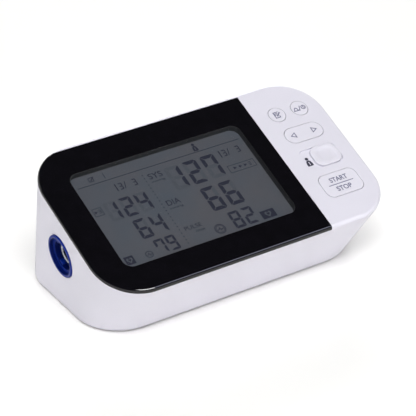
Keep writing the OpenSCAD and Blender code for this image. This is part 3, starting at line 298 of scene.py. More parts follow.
def ink(name, colour, rough=0.5):
    """Printed ink or a display segment."""
    material, tree, shader = new_material(name)
    fine = noise(tree, 2400, 2.0)
    tree.links.new(varied(tree, fine, colour, 0.9, 1.1), shader.inputs["Base Color"])
    shader.inputs["Roughness"].default_value = rough
    shader.inputs["Specular IOR Level"].default_value = 0.2
    return material


SLOT_MATERIALS = {
    "case_white": moulded("case_white", (0.706, 0.691, 0.770)),
    "key_white": moulded("key_white", (0.718, 0.703, 0.781), (0.36, 0.46)),
    "panel_black": gloss("panel_black", (0.0022, 0.0019, 0.0032)),
    "window_clear": clear_pane("window_clear"),
    "display_grey": liquid_crystal("display_grey", (0.102, 0.104, 0.120), (0.086, 0.100, 0.124)),
    "light_guide": moulded("light_guide", (0.72, 0.75, 0.74), (0.2, 0.3)),
    "dark_plastic": moulded("dark_plastic", (0.018, 0.019, 0.021), (0.45, 0.6), drift=0.1),
    "socket_blue": moulded("socket_blue", (0.0025, 0.018, 0.20), (0.32, 0.42), drift=0.05, spec=0.1),
    "board_green": circuit_board("board_green"),
    "pale_plastic": moulded("pale_plastic", (0.74, 0.73, 0.69), (0.4, 0.55)),
    "steel": metal("steel", (0.56, 0.57, 0.59), (0.28, 0.45), (1, 12, 1)),
    "zinc": metal("zinc", (0.64, 0.65, 0.68), (0.18, 0.35)),
    "cell_jacket": gloss("cell_jacket", (0.045, 0.11, 0.30), (0.2, 0.32)),
    "dark_rubber": rubber("dark_rubber", (0.045, 0.045, 0.047)),
    "pink_rubber": rubber("pink_rubber", (0.72, 0.34, 0.39)),
    "tape_black": rubber("tape_black", (0.03, 0.03, 0.03), 0.05),
    "silicone_hose": rubber("silicone_hose", (0.68, 0.70, 0.69), 0.3),
    "lead_red": rubber("lead_red", (0.42, 0.02, 0.02)),
    "lead_black": rubber("lead_black", (0.015, 0.015, 0.015)),
    "lead_blue": rubber("lead_blue", (0.02, 0.05, 0.38)),
    "copper_winding": winding("copper_winding"),
}
WHITE = [SLOT_MATERIALS["case_white"]]
KEY_WHITE = [SLOT_MATERIALS["key_white"]]
BLACK = [SLOT_MATERIALS["panel_black"]]
BLUE = SLOT_MATERIALS["socket_blue"]
WINDOW_WALL = moulded("window_wall", (0.010, 0.0095, 0.0105), (0.5, 0.65), drift=0.1)
SEGMENT = ink("segment", (0.024, 0.026, 0.046), 0.35)
SEGMENT_FAINT = ink("segment_faint", (0.022, 0.024, 0.044), 0.35)
SEGMENT_GHOST = ink("segment_ghost", (0.084, 0.092, 0.112), 0.4)
KEY_INK = ink("key_ink", (0.16, 0.16, 0.25))
PERSON_INK = ink("person_ink", (0.042, 0.042, 0.068))
# painted shade: a darker blue for the connector's mouth and steep walls
SOCKET_PAINTED_SHADE = moulded("socket_painted_shade", (0.0012, 0.007, 0.085), (0.32, 0.42), drift=0.05, spec=0.2)
# painted shade: near-black for the deep bore of the connector
SOCKET_BORE_SHADE = moulded("socket_bore_shade", (0.002, 0.003, 0.012), (0.3, 0.4), drift=0.1)
SOCKET_INSERT = moulded("socket_insert", (0.88, 0.90, 0.93), (0.3, 0.4))

for entry in frame["record"]["subparts"]:
    mesh = NODES[entry["node"]].data
    mesh.materials.clear()
    mesh.materials.append(SLOT_MATERIALS[entry["material_slot"]])

# ---------- mesh tools ----------
WELD = 2e-8                           # points closer than this become one
WELD_SMOOTH = 1e-7                    # the same before the edges are marked sharp


def add_object(name, data):
    obj = bpy.data.objects.new(name, data)
    bpy.context.scene.collection.objects.link(obj)
    return obj


def evaluated_mesh(obj):
    """New mesh of the object with its modifiers, or of its text."""
    bpy.context.view_layer.update()
    depsgraph = bpy.context.evaluated_depsgraph_get()
    return bpy.data.meshes.new_from_object(obj.evaluated_get(depsgraph))


def clean_mesh(mesh):
    """Joins doubled points, drops the faces this empties and turns all faces outward."""
    bm = bmesh.new()
    bm.from_mesh(mesh)
    bmesh.ops.remove_doubles(bm, verts=bm.verts, dist=WELD)
    bmesh.ops.dissolve_degenerate(bm, edges=bm.edges, dist=WELD)
    bmesh.ops.recalc_face_normals(bm, faces=bm.faces)
    bm.to_mesh(mesh)
    bm.free()


def mesh_object(name, points, faces, materials):
    mesh = bpy.data.meshes.new(name)
    mesh.from_pydata([tuple(p) for p in points], [], faces)
    for material in materials:
        mesh.materials.append(material)
    clean_mesh(mesh)
    return add_object(name, mesh)


def ring_faces(first, second, count):
    """Faces between two rings of points, given by the index of each ring's first point."""
    return [(first + k, first + (k + 1) % count, second + (k + 1) % count, second + k)
            for k in range(count)]


def skin_rings(name, rings, materials, closed=False):
    """Skin over rings of the same number of points: capped, or closed from the last to the first."""
    count = len(rings[0])
    last = (len(rings) - 1) * count
    points = [p for ring in rings for p in ring]
    faces = []
    for start in range(0, last, count):
        faces += ring_faces(start, start + count, count)
    if closed:
        faces += ring_faces(last, 0, count)
    else:
        faces += [tuple(reversed(range(count))), tuple(range(last, last + count))]
    return mesh_object(name, points, faces, materials)


def boolean(obj, cutter, operation="DIFFERENCE"):
    """Applies the cutter to obj and removes it; faces cut by it take its material."""
    mod = obj.modifiers.new("cut", "BOOLEAN")
    mod.operation = operation
    mod.solver = "EXACT"
    mod.material_mode = "TRANSFER"
    mod.object = cutter
    result = evaluated_mesh(obj)
    obj.modifiers.clear()
    obj.data = result
    clean_mesh(result)
    bpy.data.objects.remove(cutter)


def smooth(obj, angle=SHARP_ANGLE):
    """Smooth shading with the edges above the angle kept sharp."""
    bm = bmesh.new()
    bm.from_mesh(obj.data)
    bmesh.ops.remove_doubles(bm, verts=bm.verts, dist=WELD_SMOOTH)
    for face in bm.faces:
        face.smooth = True
    for edge in bm.edges:
        edge.smooth = len(edge.link_faces) == 2 and edge.calc_face_angle(0) < math.radians(angle)
    bm.to_mesh(obj.data)
    bm.free()
    mod = obj.modifiers.new("normals", "WEIGHTED_NORMAL")
    mod.keep_sharp = True
    return obj


def finish_piece(obj, body, slot, *nodes):
    """Puts the piece on its body, in the place of the CAD nodes it stands for. The argument slot is not used."""
    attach(obj, body)
    if nodes:
        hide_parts(*nodes)
    return obj


def quarter(cx, cy, r, start, steps):
    angles = [math.radians(start + 90 * i / steps) for i in range(steps + 1)]
    return [(cx + r * math.cos(a), cy + r * math.sin(a)) for a in angles]


def rounded(width, depth, radii, steps):
    """Rectangle round the origin; radii of right back, left back, left front and right front."""
    a, b = width / 2, depth / 2
    corners = ((1, 1), (-1, 1), (-1, -1), (1, -1))
    points = []
    for (sx, sy), radius, start in zip(corners, radii, (0, 90, 180, 270)):
        points += quarter(sx * (a - radius), sy * (b - radius), radius, start, steps)
    return points


def slab(name, centre, width, depth, r, profile, materials, steps):
    """Rounded slab on the sloping frame; profile lists (outward offset, height w)."""
    rings = []
    for offset, w in profile:
        outline = rounded(width + 2 * offset, depth + 2 * offset, (r + offset,) * 4, steps)
        rings.append([on_top(centre[0] + x, centre[1] + y, w) for x, y in outline])
    return skin_rings(name, rings, materials)


def edge_arc(r, steps=EDGE_STEPS):
    """(inset, drop) along a rounded edge, from the side to the top."""
    angles = [math.radians(90 * i / steps) for i in range(steps + 1)]
    return [(r * (1 - math.cos(a)), r * (1 - math.sin(a))) for a in angles]


def flare(r, depth):
    """Profile of a cutter that leaves an edge rounded by r."""
    return [(0, -depth)] + [(x, -y) for x, y in edge_arc(r)] + [(r, 1.0)]


def crown(r, depth, height):
    """Profile of a key: straight sides and a top edge rounded by r."""
    return [(0, -depth)] + [(-x, height - y) for x, y in edge_arc(r)]


# ---------- outer form of the case ----------
BLOCK_REACH = 400                     # past the case, for the blocks that cut it


def top_ring(inset, drop):
    radii = (CORNER - inset, CORNER - inset, CORNER - inset, CORNER_FRONT_RIGHT - inset)
    outline = rounded(2 * (HALF_W - inset), TOP_LEN - 2 * inset, radii, SHELL_STEPS)
    return [on_top(x, y + TOP_LEN / 2, -drop) for x, y in outline]


def base_ring(inset, height):
    width = 2 * (BASE_HALF_W - inset)
    depth = BASE_BACK - BASE_FRONT - 2 * inset
    outline = rounded(width, depth, (BASE_CORNER - inset,) * 4, SHELL_STEPS)
    middle = (BASE_BACK + BASE_FRONT) / 2
    return [Vector((x, y + middle, FOOT + height)) * MM for x, y in outline]


def between(low, high, t):
    return [a.lerp(b, t) for a, b in zip(low, high)]


def cut_at(low, high, z):
    """Ring on the walls between two rings, at height z."""
    return [a.lerp(b, (z * MM - a.z) / (b.z - a.z)) for a, b in zip(low, high)]


WALL_LOW = base_ring(0, EDGE_BASE)
WALL_HIGH = top_ring(0, EDGE_TOP)
TOP_ROUND = [top_ring(inset, drop) for inset, drop in edge_arc(EDGE_TOP, TOP_EDGE_STEPS)]


def wall_rings(z):
    """Rings of the outer walls from height z up to the flat top."""
    start = cut_at(WALL_LOW, WALL_HIGH, z)
    return [start] + [between(start, WALL_HIGH, t) for t in (0.25, 0.5, 0.75)] + TOP_ROUND


def shell():
    """Walls and deck of the upper case, open below."""
    outer = wall_rings(SPLIT)
    inner_high = top_ring(WALL, DECK)
    inner_low = cut_at(base_ring(WALL, 0), inner_high, SPLIT)
    count = len(inner_low)
    last = (len(outer) - 1) * count
    low = last + count                # first points of the two inner rings
    high = low + count
    points = [p for ring in outer + [inner_low, inner_high] for p in ring]
    faces = []
    for start in range(0, last, count):
        faces += ring_faces(start, start + count, count)
    faces.append(tuple(range(last, last + count)))
    for k in range(count):
        j = (k + 1) % count
        faces += [(low + j, low + k, high + k, high + j), (j, k, low + k, low + j)]
    faces.append(tuple(reversed(range(high, high + count))))
    return mesh_object("case_top_shell", points, faces, WHITE)


def panel_block(name, bottom, top, edge, materials):
    """Block over the panel's area, reaching past the case at the left and front."""
    rings = []
    for offset, w in [(0, bottom)] + [(x, top + w) for x, w in edge]:
        right, back = PANEL_RIGHT + offset, PANEL_BACK + offset
        rings.append([on_top(right, back, w), on_top(-BLOCK_REACH, back, w),
                      on_top(-BLOCK_REACH, -BLOCK_REACH, w), on_top(right, -BLOCK_REACH, w)])
    return skin_rings(name, rings, materials)


def lathe(name, profile, origin, axis, materials):
    """Turned ring; its closed profile lists (radius, distance along the axis) in millimetres."""
    x = UP.cross(axis).normalized()
    y = axis.cross(x)
    angles = [2 * math.pi * k / LATHE_STEPS for k in range(LATHE_STEPS)]
    rings = [[origin + (axis * d + (x * math.cos(a) + y * math.sin(a)) * r) * MM for a in angles]
             for r, d in profile]
    return skin_rings(name, rings, materials, closed=True)


BORE_BEHIND_WALL = 8.3                # from the outer wall to the middle of the plug's bore
PLUG = {m["name"]: m for m in frame["record"]["mounts"]}["air_plug_bore"]
PLUG_AXIS = Vector(PLUG["axis"]).normalized()
SOCKET_FACE = Vector(PLUG["pos_m"]) + PLUG_AXIS * BORE_BEHIND_WALL * MM
INLET_LOW, INLET_HIGH = (Vector(c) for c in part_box("power_inlet"))
INLET = (INLET_LOW + INLET_HIGH) / 2
INLET_FACE = Vector((BASE_HALF_W * MM, INLET.y, INLET.z))

# keys: width, depth, corner radius, steps of a corner and depth of the dish
KEY_SHAPES = {
    "memory_button": (10.6, 10.6, 5.3, 16, 0.08),
    "average_button": (10.6, 10.6, 5.3, 16, 0.08),
    "rocker_button": (25.7, 11.4, 5.7, 16, 0.1),
    "start_stop_button": (25.7, 16.4, 4.6, 12, 0.1),
}
KEY_CENTRES = {node: span(node)[:2] for node in KEY_SHAPES}
GROOVE = 0.28                         # gap round a key
EASE = 0.12                           # rounding of the openings' edges
HOLE_DEPTH = 8
POCKET = (25.4, 15.2)                 # shallow pocket in which the slider moves
POCKET_R = 4.5
POCKET_DEPTH = 1.2
POCKET_EASE = 0.35
SLIDER_GAP = 0.7
SLIDER = span("user_switch_slider")
SLIDER_W = SLIDER[2]
POCKET_CENTRE = (SLIDER[0] - (POCKET[0] - SLIDER_W - SLIDER_GAP) / 2, SLIDER[1])

# (offset, w) up the edges of the panel's recess and of the panel
RECESS_EDGE = [(0.10, -0.25), (0.14, -0.11), (0.26, 0.0), (0.26, 1.0)]
PANEL_EDGE = [(0, -0.3), (-0.04, -0.15), (-0.13, -0.04), (-0.3, 0.0)]
RECESS_UNDER = 0.06                   # room under the panel
PANEL_LOWER = 0.001                   # the panel's top lies this much lower than the deck
PANEL_SKIRT = 20                      # height from which the panel's walls are drawn
WINDOW_GAP = 0.1
WINDOW_R = 5.5
PANE_R = 5.45
PANE_EDGE = [(0, WINDOW[4]), (0, -0.12), (-0.03, -0.04), (-0.1, -0.02)]

# (radius, depth) of the cuts in the side walls: the connector's seat and the bores
SEAT = [(0.001, -0.85), (13.0, -0.85), (13.0, 0.0), (13.3, 0.35), (13.3, 4), (0.001, 4)]
SOCKET_BORE = [(0.001, -8), (11.2, -8), (11.2, 1), (0.001, 1)]
INLET_BORE = [(0.001, -8), (4.4, -8), (4.4, 20), (0.001, 20)]

upper = shell()
boolean(upper, panel_block("recess", -PANEL_T - RECESS_UNDER, 0, RECESS_EDGE, WHITE))
for node, (width, depth, r, steps, _) in KEY_SHAPES.items():
    boolean(upper, slab("hole", KEY_CENTRES[node], width + 2 * GROOVE, depth + 2 * GROOVE, r + GROOVE,
                        flare(EASE, HOLE_DEPTH), WHITE, steps))
boolean(upper, slab("pocket", POCKET_CENTRE, *POCKET, POCKET_R, flare(POCKET_EASE, POCKET_DEPTH), WHITE, 12))
boolean(upper, lathe("seat", SEAT, SOCKET_FACE, PLUG_AXIS, WHITE))
boolean(upper, lathe("hole", SOCKET_BORE, SOCKET_FACE, PLUG_AXIS, WHITE))
boolean(upper, lathe("hole", INLET_BORE, INLET_FACE, RIGHT, WHITE))
finish_piece(smooth(upper), "case", "case_white", "upper_case")

panel = skin_rings("panel_cover", wall_rings(PANEL_SKIRT), BLACK)
boolean(panel, panel_block("block", -PANEL_T, -PANEL_LOWER, PANEL_EDGE, BLACK), "INTERSECT")
boolean(panel, slab("window", WINDOW[:2], WINDOW[2] + WINDOW_GAP, WINDOW[3] + WINDOW_GAP, WINDOW_R,
                    flare(0.15, 6), [WINDOW_WALL], 16))
finish_piece(smooth(panel), "case", "panel_black", "display_panel")

pane = slab("window_cover", WINDOW[:2], WINDOW[2], WINDOW[3], PANE_R, PANE_EDGE,
            [SLOT_MATERIALS["window_clear"]], 16)
finish_piece(smooth(pane), "case", "window_clear", "window_pane")
NODES["display_frame"].data.materials[0] = WINDOW_WALL

# ---------- keys ----------
PROUD = 0.14                          # height of the keys above the deck
KEY_DEPTH = 2.9
KEY_EDGE = 0.22

for node, (width, depth, r, steps, dish) in KEY_SHAPES.items():
    profile = crown(KEY_EDGE, KEY_DEPTH, PROUD)
    profile += [(-0.9, PROUD - 0.01), (-2.2, PROUD - dish * 0.6), (-3.6, PROUD - dish)]
    key = slab(node.replace("button", "key"), KEY_CENTRES[node], width, depth, r, profile, KEY_WHITE, steps)
    finish_piece(smooth(key), node, "key_white", node)

SLIDER_D = POCKET[1] - 0.6
RIM = 0.55                            # height of the slider above the deck
PAD = (12.8, 10.4)                    # finger dish, nearer to the slider's back right
PAD_SHIFT = (0.55, 0.35)
PAD_R = 4.2
SLIDER_BLEND = 50                     # degrees; the slider's steps are shaded as one soft form
# (narrower by, corner radius, height) up the slider's sides
SLIDER_SIDES = [(0, 5.2, -POCKET_DEPTH + 0.15), (0, 5.2, RIM - 0.45), (0.12, 5.15, RIM - 0.25),
                (0.45, 5.0, RIM - 0.08), (0.9, 4.8, RIM)]
# (inset, drop) down the finger dish
SLIDER_DISH = [(-0.35, 0.01), (0.0, 0.05), (0.3, 0.15), (0.7, 0.3), (1.2, 0.44), (1.9, 0.57), (2.7, 0.66),
               (3.6, 0.7)]


def slider_ring(shift, width, depth, r, w):
    u, v = SLIDER[0] + shift[0], SLIDER[1] + shift[1]
    return [on_top(u + x, v + y, w) for x, y in rounded(width, depth, (r,) * 4, 14)]


slider_rings = [slider_ring((0, 0), SLIDER_W - less, SLIDER_D - less, r, w) for less, r, w in SLIDER_SIDES]
slider_rings += [slider_ring(PAD_SHIFT, PAD[0] - 2 * inset, PAD[1] - 2 * inset, PAD_R - inset, RIM - drop)
                 for inset, drop in SLIDER_DISH]
slider = skin_rings("user_slider", slider_rings, KEY_WHITE)
finish_piece(smooth(slider, SLIDER_BLEND), "user_switch_slider", "key_white", "user_switch_slider")

# ---------- air connector; profiles are (radius, distance out of the wall) ----------
MOUTH_FLOOR = -3.8
SOCKET_PROFILE = [
    (12.8, -0.8), (12.8, 0.75), (12.7, 1.0), (12.45, 1.16), (12.2, 1.2), (11.35, 1.2), (11.15, 1.12),
    (11.05, 0.9), (11.0, -0.7), (10.9, -0.85), (10.7, -0.9), (9.1, -0.9), (8.85, -0.98), (8.72, -1.2),
    (8.7, MOUTH_FLOOR), (7.0, MOUTH_FLOOR), (6.85, -3.6), (6.6, -3.5), (6.3, -3.5), (6.12, -3.56),
    (6.1, -12.8), (0.8, -12.8), (0.8, -16.0), (10.9, -16.0), (10.9, -0.8)]
SEAL_PROFILE = [(6.1, -3.62), (6.02, -3.54), (5.95, -3.56), (5.9, -3.66), (5.9, -4.4), (6.1, -4.4)]
# a near-black lining down the bore is painted shade
BORE_SHADE_PROFILE = [(6.1, -4.41), (5.9, -4.41), (5.9, -12.5), (2.0, -12.5), (2.0, -12.8), (6.1, -12.8)]
SHADE_RADIUS = 11.1                    # painted shade, a darker blue, lies inside this radius, below this level or on the steep walls
SHADE_LEVEL = -2                       # below this level or on the steep walls
STEEP = 0.6
BLOCK_ANGLES = (242, 2, 122)          # key blocks round the mouth, in degrees
BLOCK_OUT = 8.8
BLOCK_IN = 7.1
BLOCK_HALF = 1.8
# (distance out of the wall, narrower by) up a key block
BLOCK_SIDES = ((MOUTH_FLOOR - 0.05, 0.0), (-1.6, 0.0), (-1.35, 0.12), (-1.25, 0.35))

socket = lathe("air_connector", SOCKET_PROFILE, SOCKET_FACE, PLUG_AXIS, [BLUE, SOCKET_PAINTED_SHADE])
# faces deep in the mouth and on the steep walls get the darker blue of painted shade
for face in socket.data.polygons:
    offset = face.center - SOCKET_FACE
    level = offset.dot(PLUG_AXIS)
    radius = (offset - PLUG_AXIS * level).length
    steep = abs(face.normal.dot(PLUG_AXIS)) < STEEP
    if radius < SHADE_RADIUS * MM and (level < SHADE_LEVEL * MM or steep):
        face.material_index = 1
finish_piece(smooth(socket), "case", "socket_blue", "air_socket")
seal = lathe("connector_seal_ring", SEAL_PROFILE, SOCKET_FACE, PLUG_AXIS, [SOCKET_INSERT])
finish_piece(smooth(seal), "case", "socket_blue")
# the bore's near-black lining is painted shade
bore_shade = lathe("connector_bore_shade", BORE_SHADE_PROFILE, SOCKET_FACE, PLUG_AXIS, [SOCKET_BORE_SHADE])
finish_piece(smooth(bore_shade), "case", "socket_blue")

side = UP.cross(PLUG_AXIS).normalized()
for i, angle in enumerate(BLOCK_ANGLES):
    a = math.radians(angle)
    out = side * math.cos(a) + PLUG_AXIS.cross(side) * math.sin(a)
    along = PLUG_AXIS.cross(out)
    rings = []
    for level, less in BLOCK_SIDES:
        half, near = BLOCK_HALF - less, BLOCK_IN + less
        corners = ((BLOCK_OUT, -half), (BLOCK_OUT, half), (near, half), (near, -half))
        rings.append([SOCKET_FACE + (out * r + along * s + PLUG_AXIS * level) * MM for r, s in corners])
    finish_piece(smooth(skin_rings(f"connector_key_{i + 1}", rings, [BLUE])), "case", "socket_blue")

# ---------- outlines for prints and display marks ----------


def box_loop(x0, y0, x1, y1):
    return [(x0, y0), (x1, y0), (x1, y1), (x0, y1)]


def frame_loops(x0, y0, x1, y1, line):
    """Four bars of a rectangular frame."""
    return [box_loop(x0, y0, x1, y0 + line), box_loop(x0, y1 - line, x1, y1),
            box_loop(x0, y0 + line, x0 + line, y1 - line), box_loop(x1 - line, y0 + line, x1, y1 - line)]


def stroke(points, line):
    """Mitred quads along a polyline, which is closed where its ends meet."""
    closed = points[0] == points[-1]
    pts = [Vector(p) for p in (points[:-1] if closed else points)]
    count = len(pts)
    sides = []
    for i, p in enumerate(pts):
        before = (p - pts[i - 1]).normalized() if closed or i else None
        after = (pts[(i + 1) % count] - p).normalized() if closed or i < count - 1 else None
        if before is None or after is None:
            d = after or before
            across = Vector((-d.y, d.x)) * line / 2
            p = p + d * (-line / 2 if before is None else line / 2)
        else:
            across = Vector((-before.y - after.y, before.x + after.x)).normalized()
            across *= line / 2 / max(0.35, across.dot(Vector((-after.y, after.x))))
        sides.append((p - across, p + across))
    if closed:
        sides.append(sides[0])
    return [[a0, b0, b1, a1] for (a0, a1), (b0, b1) in zip(sides, sides[1:])]


def circle_loops(cx, cy, r, line, steps=40):
    """Quads of a circular line whose outer radius is r."""
    loops = []
    for k in range(steps):
        a, b = 2 * math.pi * k / steps, 2 * math.pi * (k + 1) / steps
        loops.append([(cx + q * math.cos(t), cy + q * math.sin(t))
                      for q, t in ((r - line, a), (r, a), (r, b), (r - line, b))])
    return loops


def disc(cx, cy, r, steps=28):
    angles = [2 * math.pi * k / steps for k in range(steps)]
    return [(cx + r * math.cos(a), cy + r * math.sin(a)) for a in angles]


def person(cx, cy, width, height):
    """Head and shoulders, centred."""
    head = disc(cx, cy + height * 0.32, height * 0.16)
    shoulders = [(-1, 0), (1, 0), (1, 0.28), (0.78, 0.5), (0.35, 0.64), (-0.35, 0.64), (-0.78, 0.5),
                 (-1, 0.28)]
    body = [(cx + width / 2 * x, cy - height / 2 + height * y) for x, y in shoulders]
    return [head, body]


def heart(cx, cy, size):
    outline = [(0, -1), (0.95, 0.1), (0.85, 0.7), (0.4, 0.85), (0, 0.45), (-0.4, 0.85), (-0.85, 0.7),
               (-0.95, 0.1)]
    return [(cx + size * x, cy + size * y) for x, y in outline]


def plate(name, loops, place, low, high, material, body, slot):
    """Thin prints or display segments: each loop is a simple outline in (x, y)."""
    points, faces = [], []
    for loop in loops:
        start, count = len(points), len(loop)
        points += [place(x, y, low) for x, y in loop] + [place(x, y, high) for x, y in loop]
        faces.append(tuple(range(start + count, start + 2 * count)))
        faces.append(tuple(reversed(range(start, start + count))))
        faces += ring_faces(start, start + count, count)
    return finish_piece(mesh_object(name, points, faces, [material]), body, slot)


def words(name, text, box, place, w, material, body, slot, weight):
    """Generic lettering as a thin mesh that fills the box (centre x, centre y, width, height)."""
    cx, cy, width, height = box
    curve = bpy.data.curves.new(name, "FONT")
    curve.body = text
    curve.offset = weight
    curve.resolution_u = 4
    text_object = add_object(name, curve)
    mesh = evaluated_mesh(text_object)
    bpy.data.objects.remove(text_object)
    xs = [v.co.x for v in mesh.vertices]
    ys = [v.co.y for v in mesh.vertices]
    sx, sy = width / (max(xs) - min(xs)), height / (max(ys) - min(ys))
    mx, my = (max(xs) + min(xs)) / 2, (max(ys) + min(ys)) / 2
    for v in mesh.vertices:
        v.co = place(cx + (v.co.x - mx) * sx, cy + (v.co.y - my) * sy, w)
    mesh.materials.clear()
    mesh.materials.append(material)
    return finish_piece(add_object(name, mesh), body, slot)


# ---------- prints on the keys and in the pocket ----------
PRINT_LOW = PROUD - 0.13
PRINT_HIGH = PROUD + 0.012
WORD_HEIGHT = 3.4
KEY_WORD_WEIGHT = 0.018


def key_place(node):
    """Places points round the middle of a key."""
    u, v = KEY_CENTRES[node]
    return lambda x, y, w: on_top(u + x, v + y, w)


def key_print(name, loops, node):
    plate(name, loops, key_place(node), PRINT_LOW, PRINT_HIGH, KEY_INK, node, "key_white")


def key_word(name, text, box, node):
    words(name, text, box, key_place(node), PRINT_HIGH, KEY_INK, node, "key_white", KEY_WORD_WEIGHT)


def pocket_place(x, y, w):
    return on_top(POCKET_CENTRE[0] + x, POCKET_CENTRE[1] + y, w - POCKET_DEPTH)


# a page with lines and a pen
memory_icon = stroke([(1.3, -1.2), (1.3, -2.2), (-1.7, -2.2), (-1.7, 2.0), (1.3, 2.0)], 0.55)
memory_icon += stroke([(-1.1, 1.0), (0.6, 1.0)], 0.5)
memory_icon += stroke([(-1.1, 0.05), (0.0, 0.05)], 0.5)
memory_icon += stroke([(0.0, -0.9), (2.1, 1.1)], 0.85)
key_print("memory_print", memory_icon, "memory_button")

# a rising sun, a stroke and a clock
average_icon = stroke([(-4.3, -1.5), (-0.9, -1.5)], 0.55)
average_icon += stroke([(-3.8, -1.0), (-3.4, 0.2), (-2.6, 0.8), (-1.8, 0.2), (-1.4, -1.0)], 0.55)
average_icon += stroke([(-0.5, -1.8), (0.8, 1.4)], 0.5)
average_icon += circle_loops(2.8, -0.1, 1.6, 0.55)
average_icon += stroke([(2.8, 0.7), (2.8, -0.1), (3.4, -0.5)], 0.5)
key_print("average_print", average_icon, "average_button")

arrows = []
for s in (-1, 1):
    arrows += stroke([(s * 8.9, 0.0), (s * 5.9, 1.7), (s * 5.9, -1.7), (s * 8.9, 0.0)], 0.5)
key_print("rocker_print", arrows, "rocker_button")

key_word("start_word", "START", (0.0, 3.3, 12.2, WORD_HEIGHT), "start_stop_button")
key_word("stop_word", "STOP", (0.0, -3.6, 10.4, WORD_HEIGHT), "start_stop_button")
key_print("start_line", stroke([(-8.3, -0.1), (8.3, -0.1)], 0.5), "start_stop_button")

plate("person_print", person(-9.1, -0.5, 3.9, 6.7), pocket_place, -0.05, 0.012, PERSON_INK, "case",
      "case_white")
plate("person_number", stroke([(-9.1, -2.9), (-9.1, -0.9)], 0.5), pocket_place, 0.012, 0.02,
      SLOT_MATERIALS["case_white"], "case", "case_white")

# ---------- what the display shows ----------
SEGMENTS_OF = {"1": "bc", "2": "abged", "3": "abgcd", "4": "fgbc", "6": "afgedc", "7": "fabc",
               "8": "abcdefg", "9": "abcdfg"}

# rows of figures: right end, bottom, width, height, pitch and line
SYSTOLIC = (34.19, 6.10, 9.3, 17.2, 12.14, 2.4)
DIASTOLIC = (34.19, -15.05, 9.3, 17.4, 12.14, 2.4)
PULSE = (34.19, -30.76, 6.9, 12.1, 8.6, 1.7)
SYSTOLIC_LAST = (-18.1, -0.76, 7.6, 13.7, 9.9, 1.95)
DIASTOLIC_LAST = (-18.1, -17.8, 7.6, 13.9, 9.9, 1.95)
PULSE_LAST = (-18.3, -30.76, 6.0, 10.3, 7.4, 1.5)
SEGMENT_LOW = -0.02
SEGMENT_HIGH = 0.03
DISPLAY_WORD_WEIGHT = 0.006


def segment(part, x0, y0, x1, y1, t):
    """Outline of one of a figure's seven segments, t thick, in the box (x0, y0) to (x1, y1)."""
    gap, chamfer, middle = t * 0.14, t * 0.28, (y0 + y1) / 2
    left, right = x0 + gap, x1 - gap
    if part in "ad":
        outline = [(left + chamfer, y1), (right - chamfer, y1), (right - 0.12 * t, y1 - chamfer),
                   (right - t, y1 - t), (left + t, y1 - t), (left + 0.12 * t, y1 - chamfer)]
    elif part == "g":
        outline = [(left + 0.35 * t, middle), (left + 0.9 * t, middle + t / 2),
                   (right - 0.9 * t, middle + t / 2), (right - 0.35 * t, middle),
                   (right - 0.9 * t, middle - t / 2), (left + 0.9 * t, middle - t / 2)]
    else:
        top, bottom = y1 - gap, middle + gap
        outline = [(x0, top - chamfer), (x0 + 0.2 * t, top - 0.5 * chamfer), (x0 + t, top - t),
                   (x0 + t, middle + t / 2 + gap), (x0 + 0.35 * t, bottom), (x0, bottom + 0.1 * t)]
    if part in "dec":
        outline = [(x, y0 + y1 - y) for x, y in outline]
    if part in "bc":
        outline = [(x0 + x1 - x, y) for x, y in outline]
    return outline[::-1] if part in "deb" else outline


def number(text, row, first=0, parts=None):
    """Segments of a row's figures; first is the last figure's place, counted from the right."""
    right, bottom, width, height, pitch, line = row
    loops = []
    for i, char in enumerate(reversed(text), first):
        x1 = right - i * pitch
        for part in (parts or SEGMENTS_OF[char]):
            loops.append(segment(part, x1 - width, bottom, x1, bottom + height, line))
    return loops


def glass_place(x, y, w):
    return on_top(WINDOW[0] + x, WINDOW[1] + y, GLASS_W + w)


def show(name, loops, material=SEGMENT, low=SEGMENT_LOW, high=SEGMENT_HIGH):
    plate(name, loops, glass_place, low, high, material, "case", "display_grey")


show("digits_systolic", number("127", SYSTOLIC))
show("digits_diastolic", number("66", DIASTOLIC))
show("digits_pulse", number("82", PULSE))
show("digits_systolic_last", number("124", SYSTOLIC_LAST))
show("digits_diastolic_last", number("64", DIASTOLIC_LAST))
show("digits_pulse_last", number("79", PULSE_LAST))

# two small dates, each with a one, a figure, a stroke and a figure
date = []
for day_right, month_right, bottom, one_x, slash_x in ((-18.4, -27.4, 18.3, -31.6, -26.6),
                                                       (51.9, 42.6, 18.6, 38.4, 43.4)):
    for right in (day_right, month_right):
        date += number("3", (right, bottom, 2.6, 4.8, 4, 0.68))
    date += stroke([(one_x, bottom + 0.1), (one_x, bottom + 4.7)], 0.7)
    date += stroke([(slash_x, bottom + 0.2), (slash_x + 1.4, bottom + 4.7)], 0.5)
show("digits_date", date, SEGMENT_FAINT)
show("display_line", [box_loop(-52.9, 27.26, 55.2, 27.68)], SEGMENT_FAINT)
show("display_dots", [disc(-13.1, 23.2 - 2.5 * i, 0.4, 10) for i in range(22)], SEGMENT_FAINT)

marks = frame_loops(37.2, 6.0, 55.2, 11.5, 0.34) + frame_loops(-53.1, 5.8, -47.2, 11.5, 0.34)
marks += number("3", (-48.1, 7.4, 1.9, 2.6, 3, 0.38)) + number("3", (52.4, 7.5, 1.8, 2.6, 3, 0.38))
for x in (40.6, 44.2, 47.7):
    marks.append([(x, 7.8), (x + 2.1, 8.9), (x, 10.0)])
marks.append([(-52.2, 7.5), (-50.4, 8.7), (-52.2, 9.9)])
show("display_frames", marks, SEGMENT_FAINT)
show("display_badges", [box_loop(-53.1, -30.8, -47.4, -25.0), box_loop(37.1, -30.8, 46.3, -24.9)])
show("badge_hearts", [heart(-50.2, -27.9, 2.0), heart(41.7, -27.9, 2.2)], SEGMENT_GHOST, 0.03, 0.05)
show("badge_marks", [heart(-50.2, -27.8, 1.0), heart(41.7, -27.8, 1.1)], SEGMENT, 0.05, 0.06)

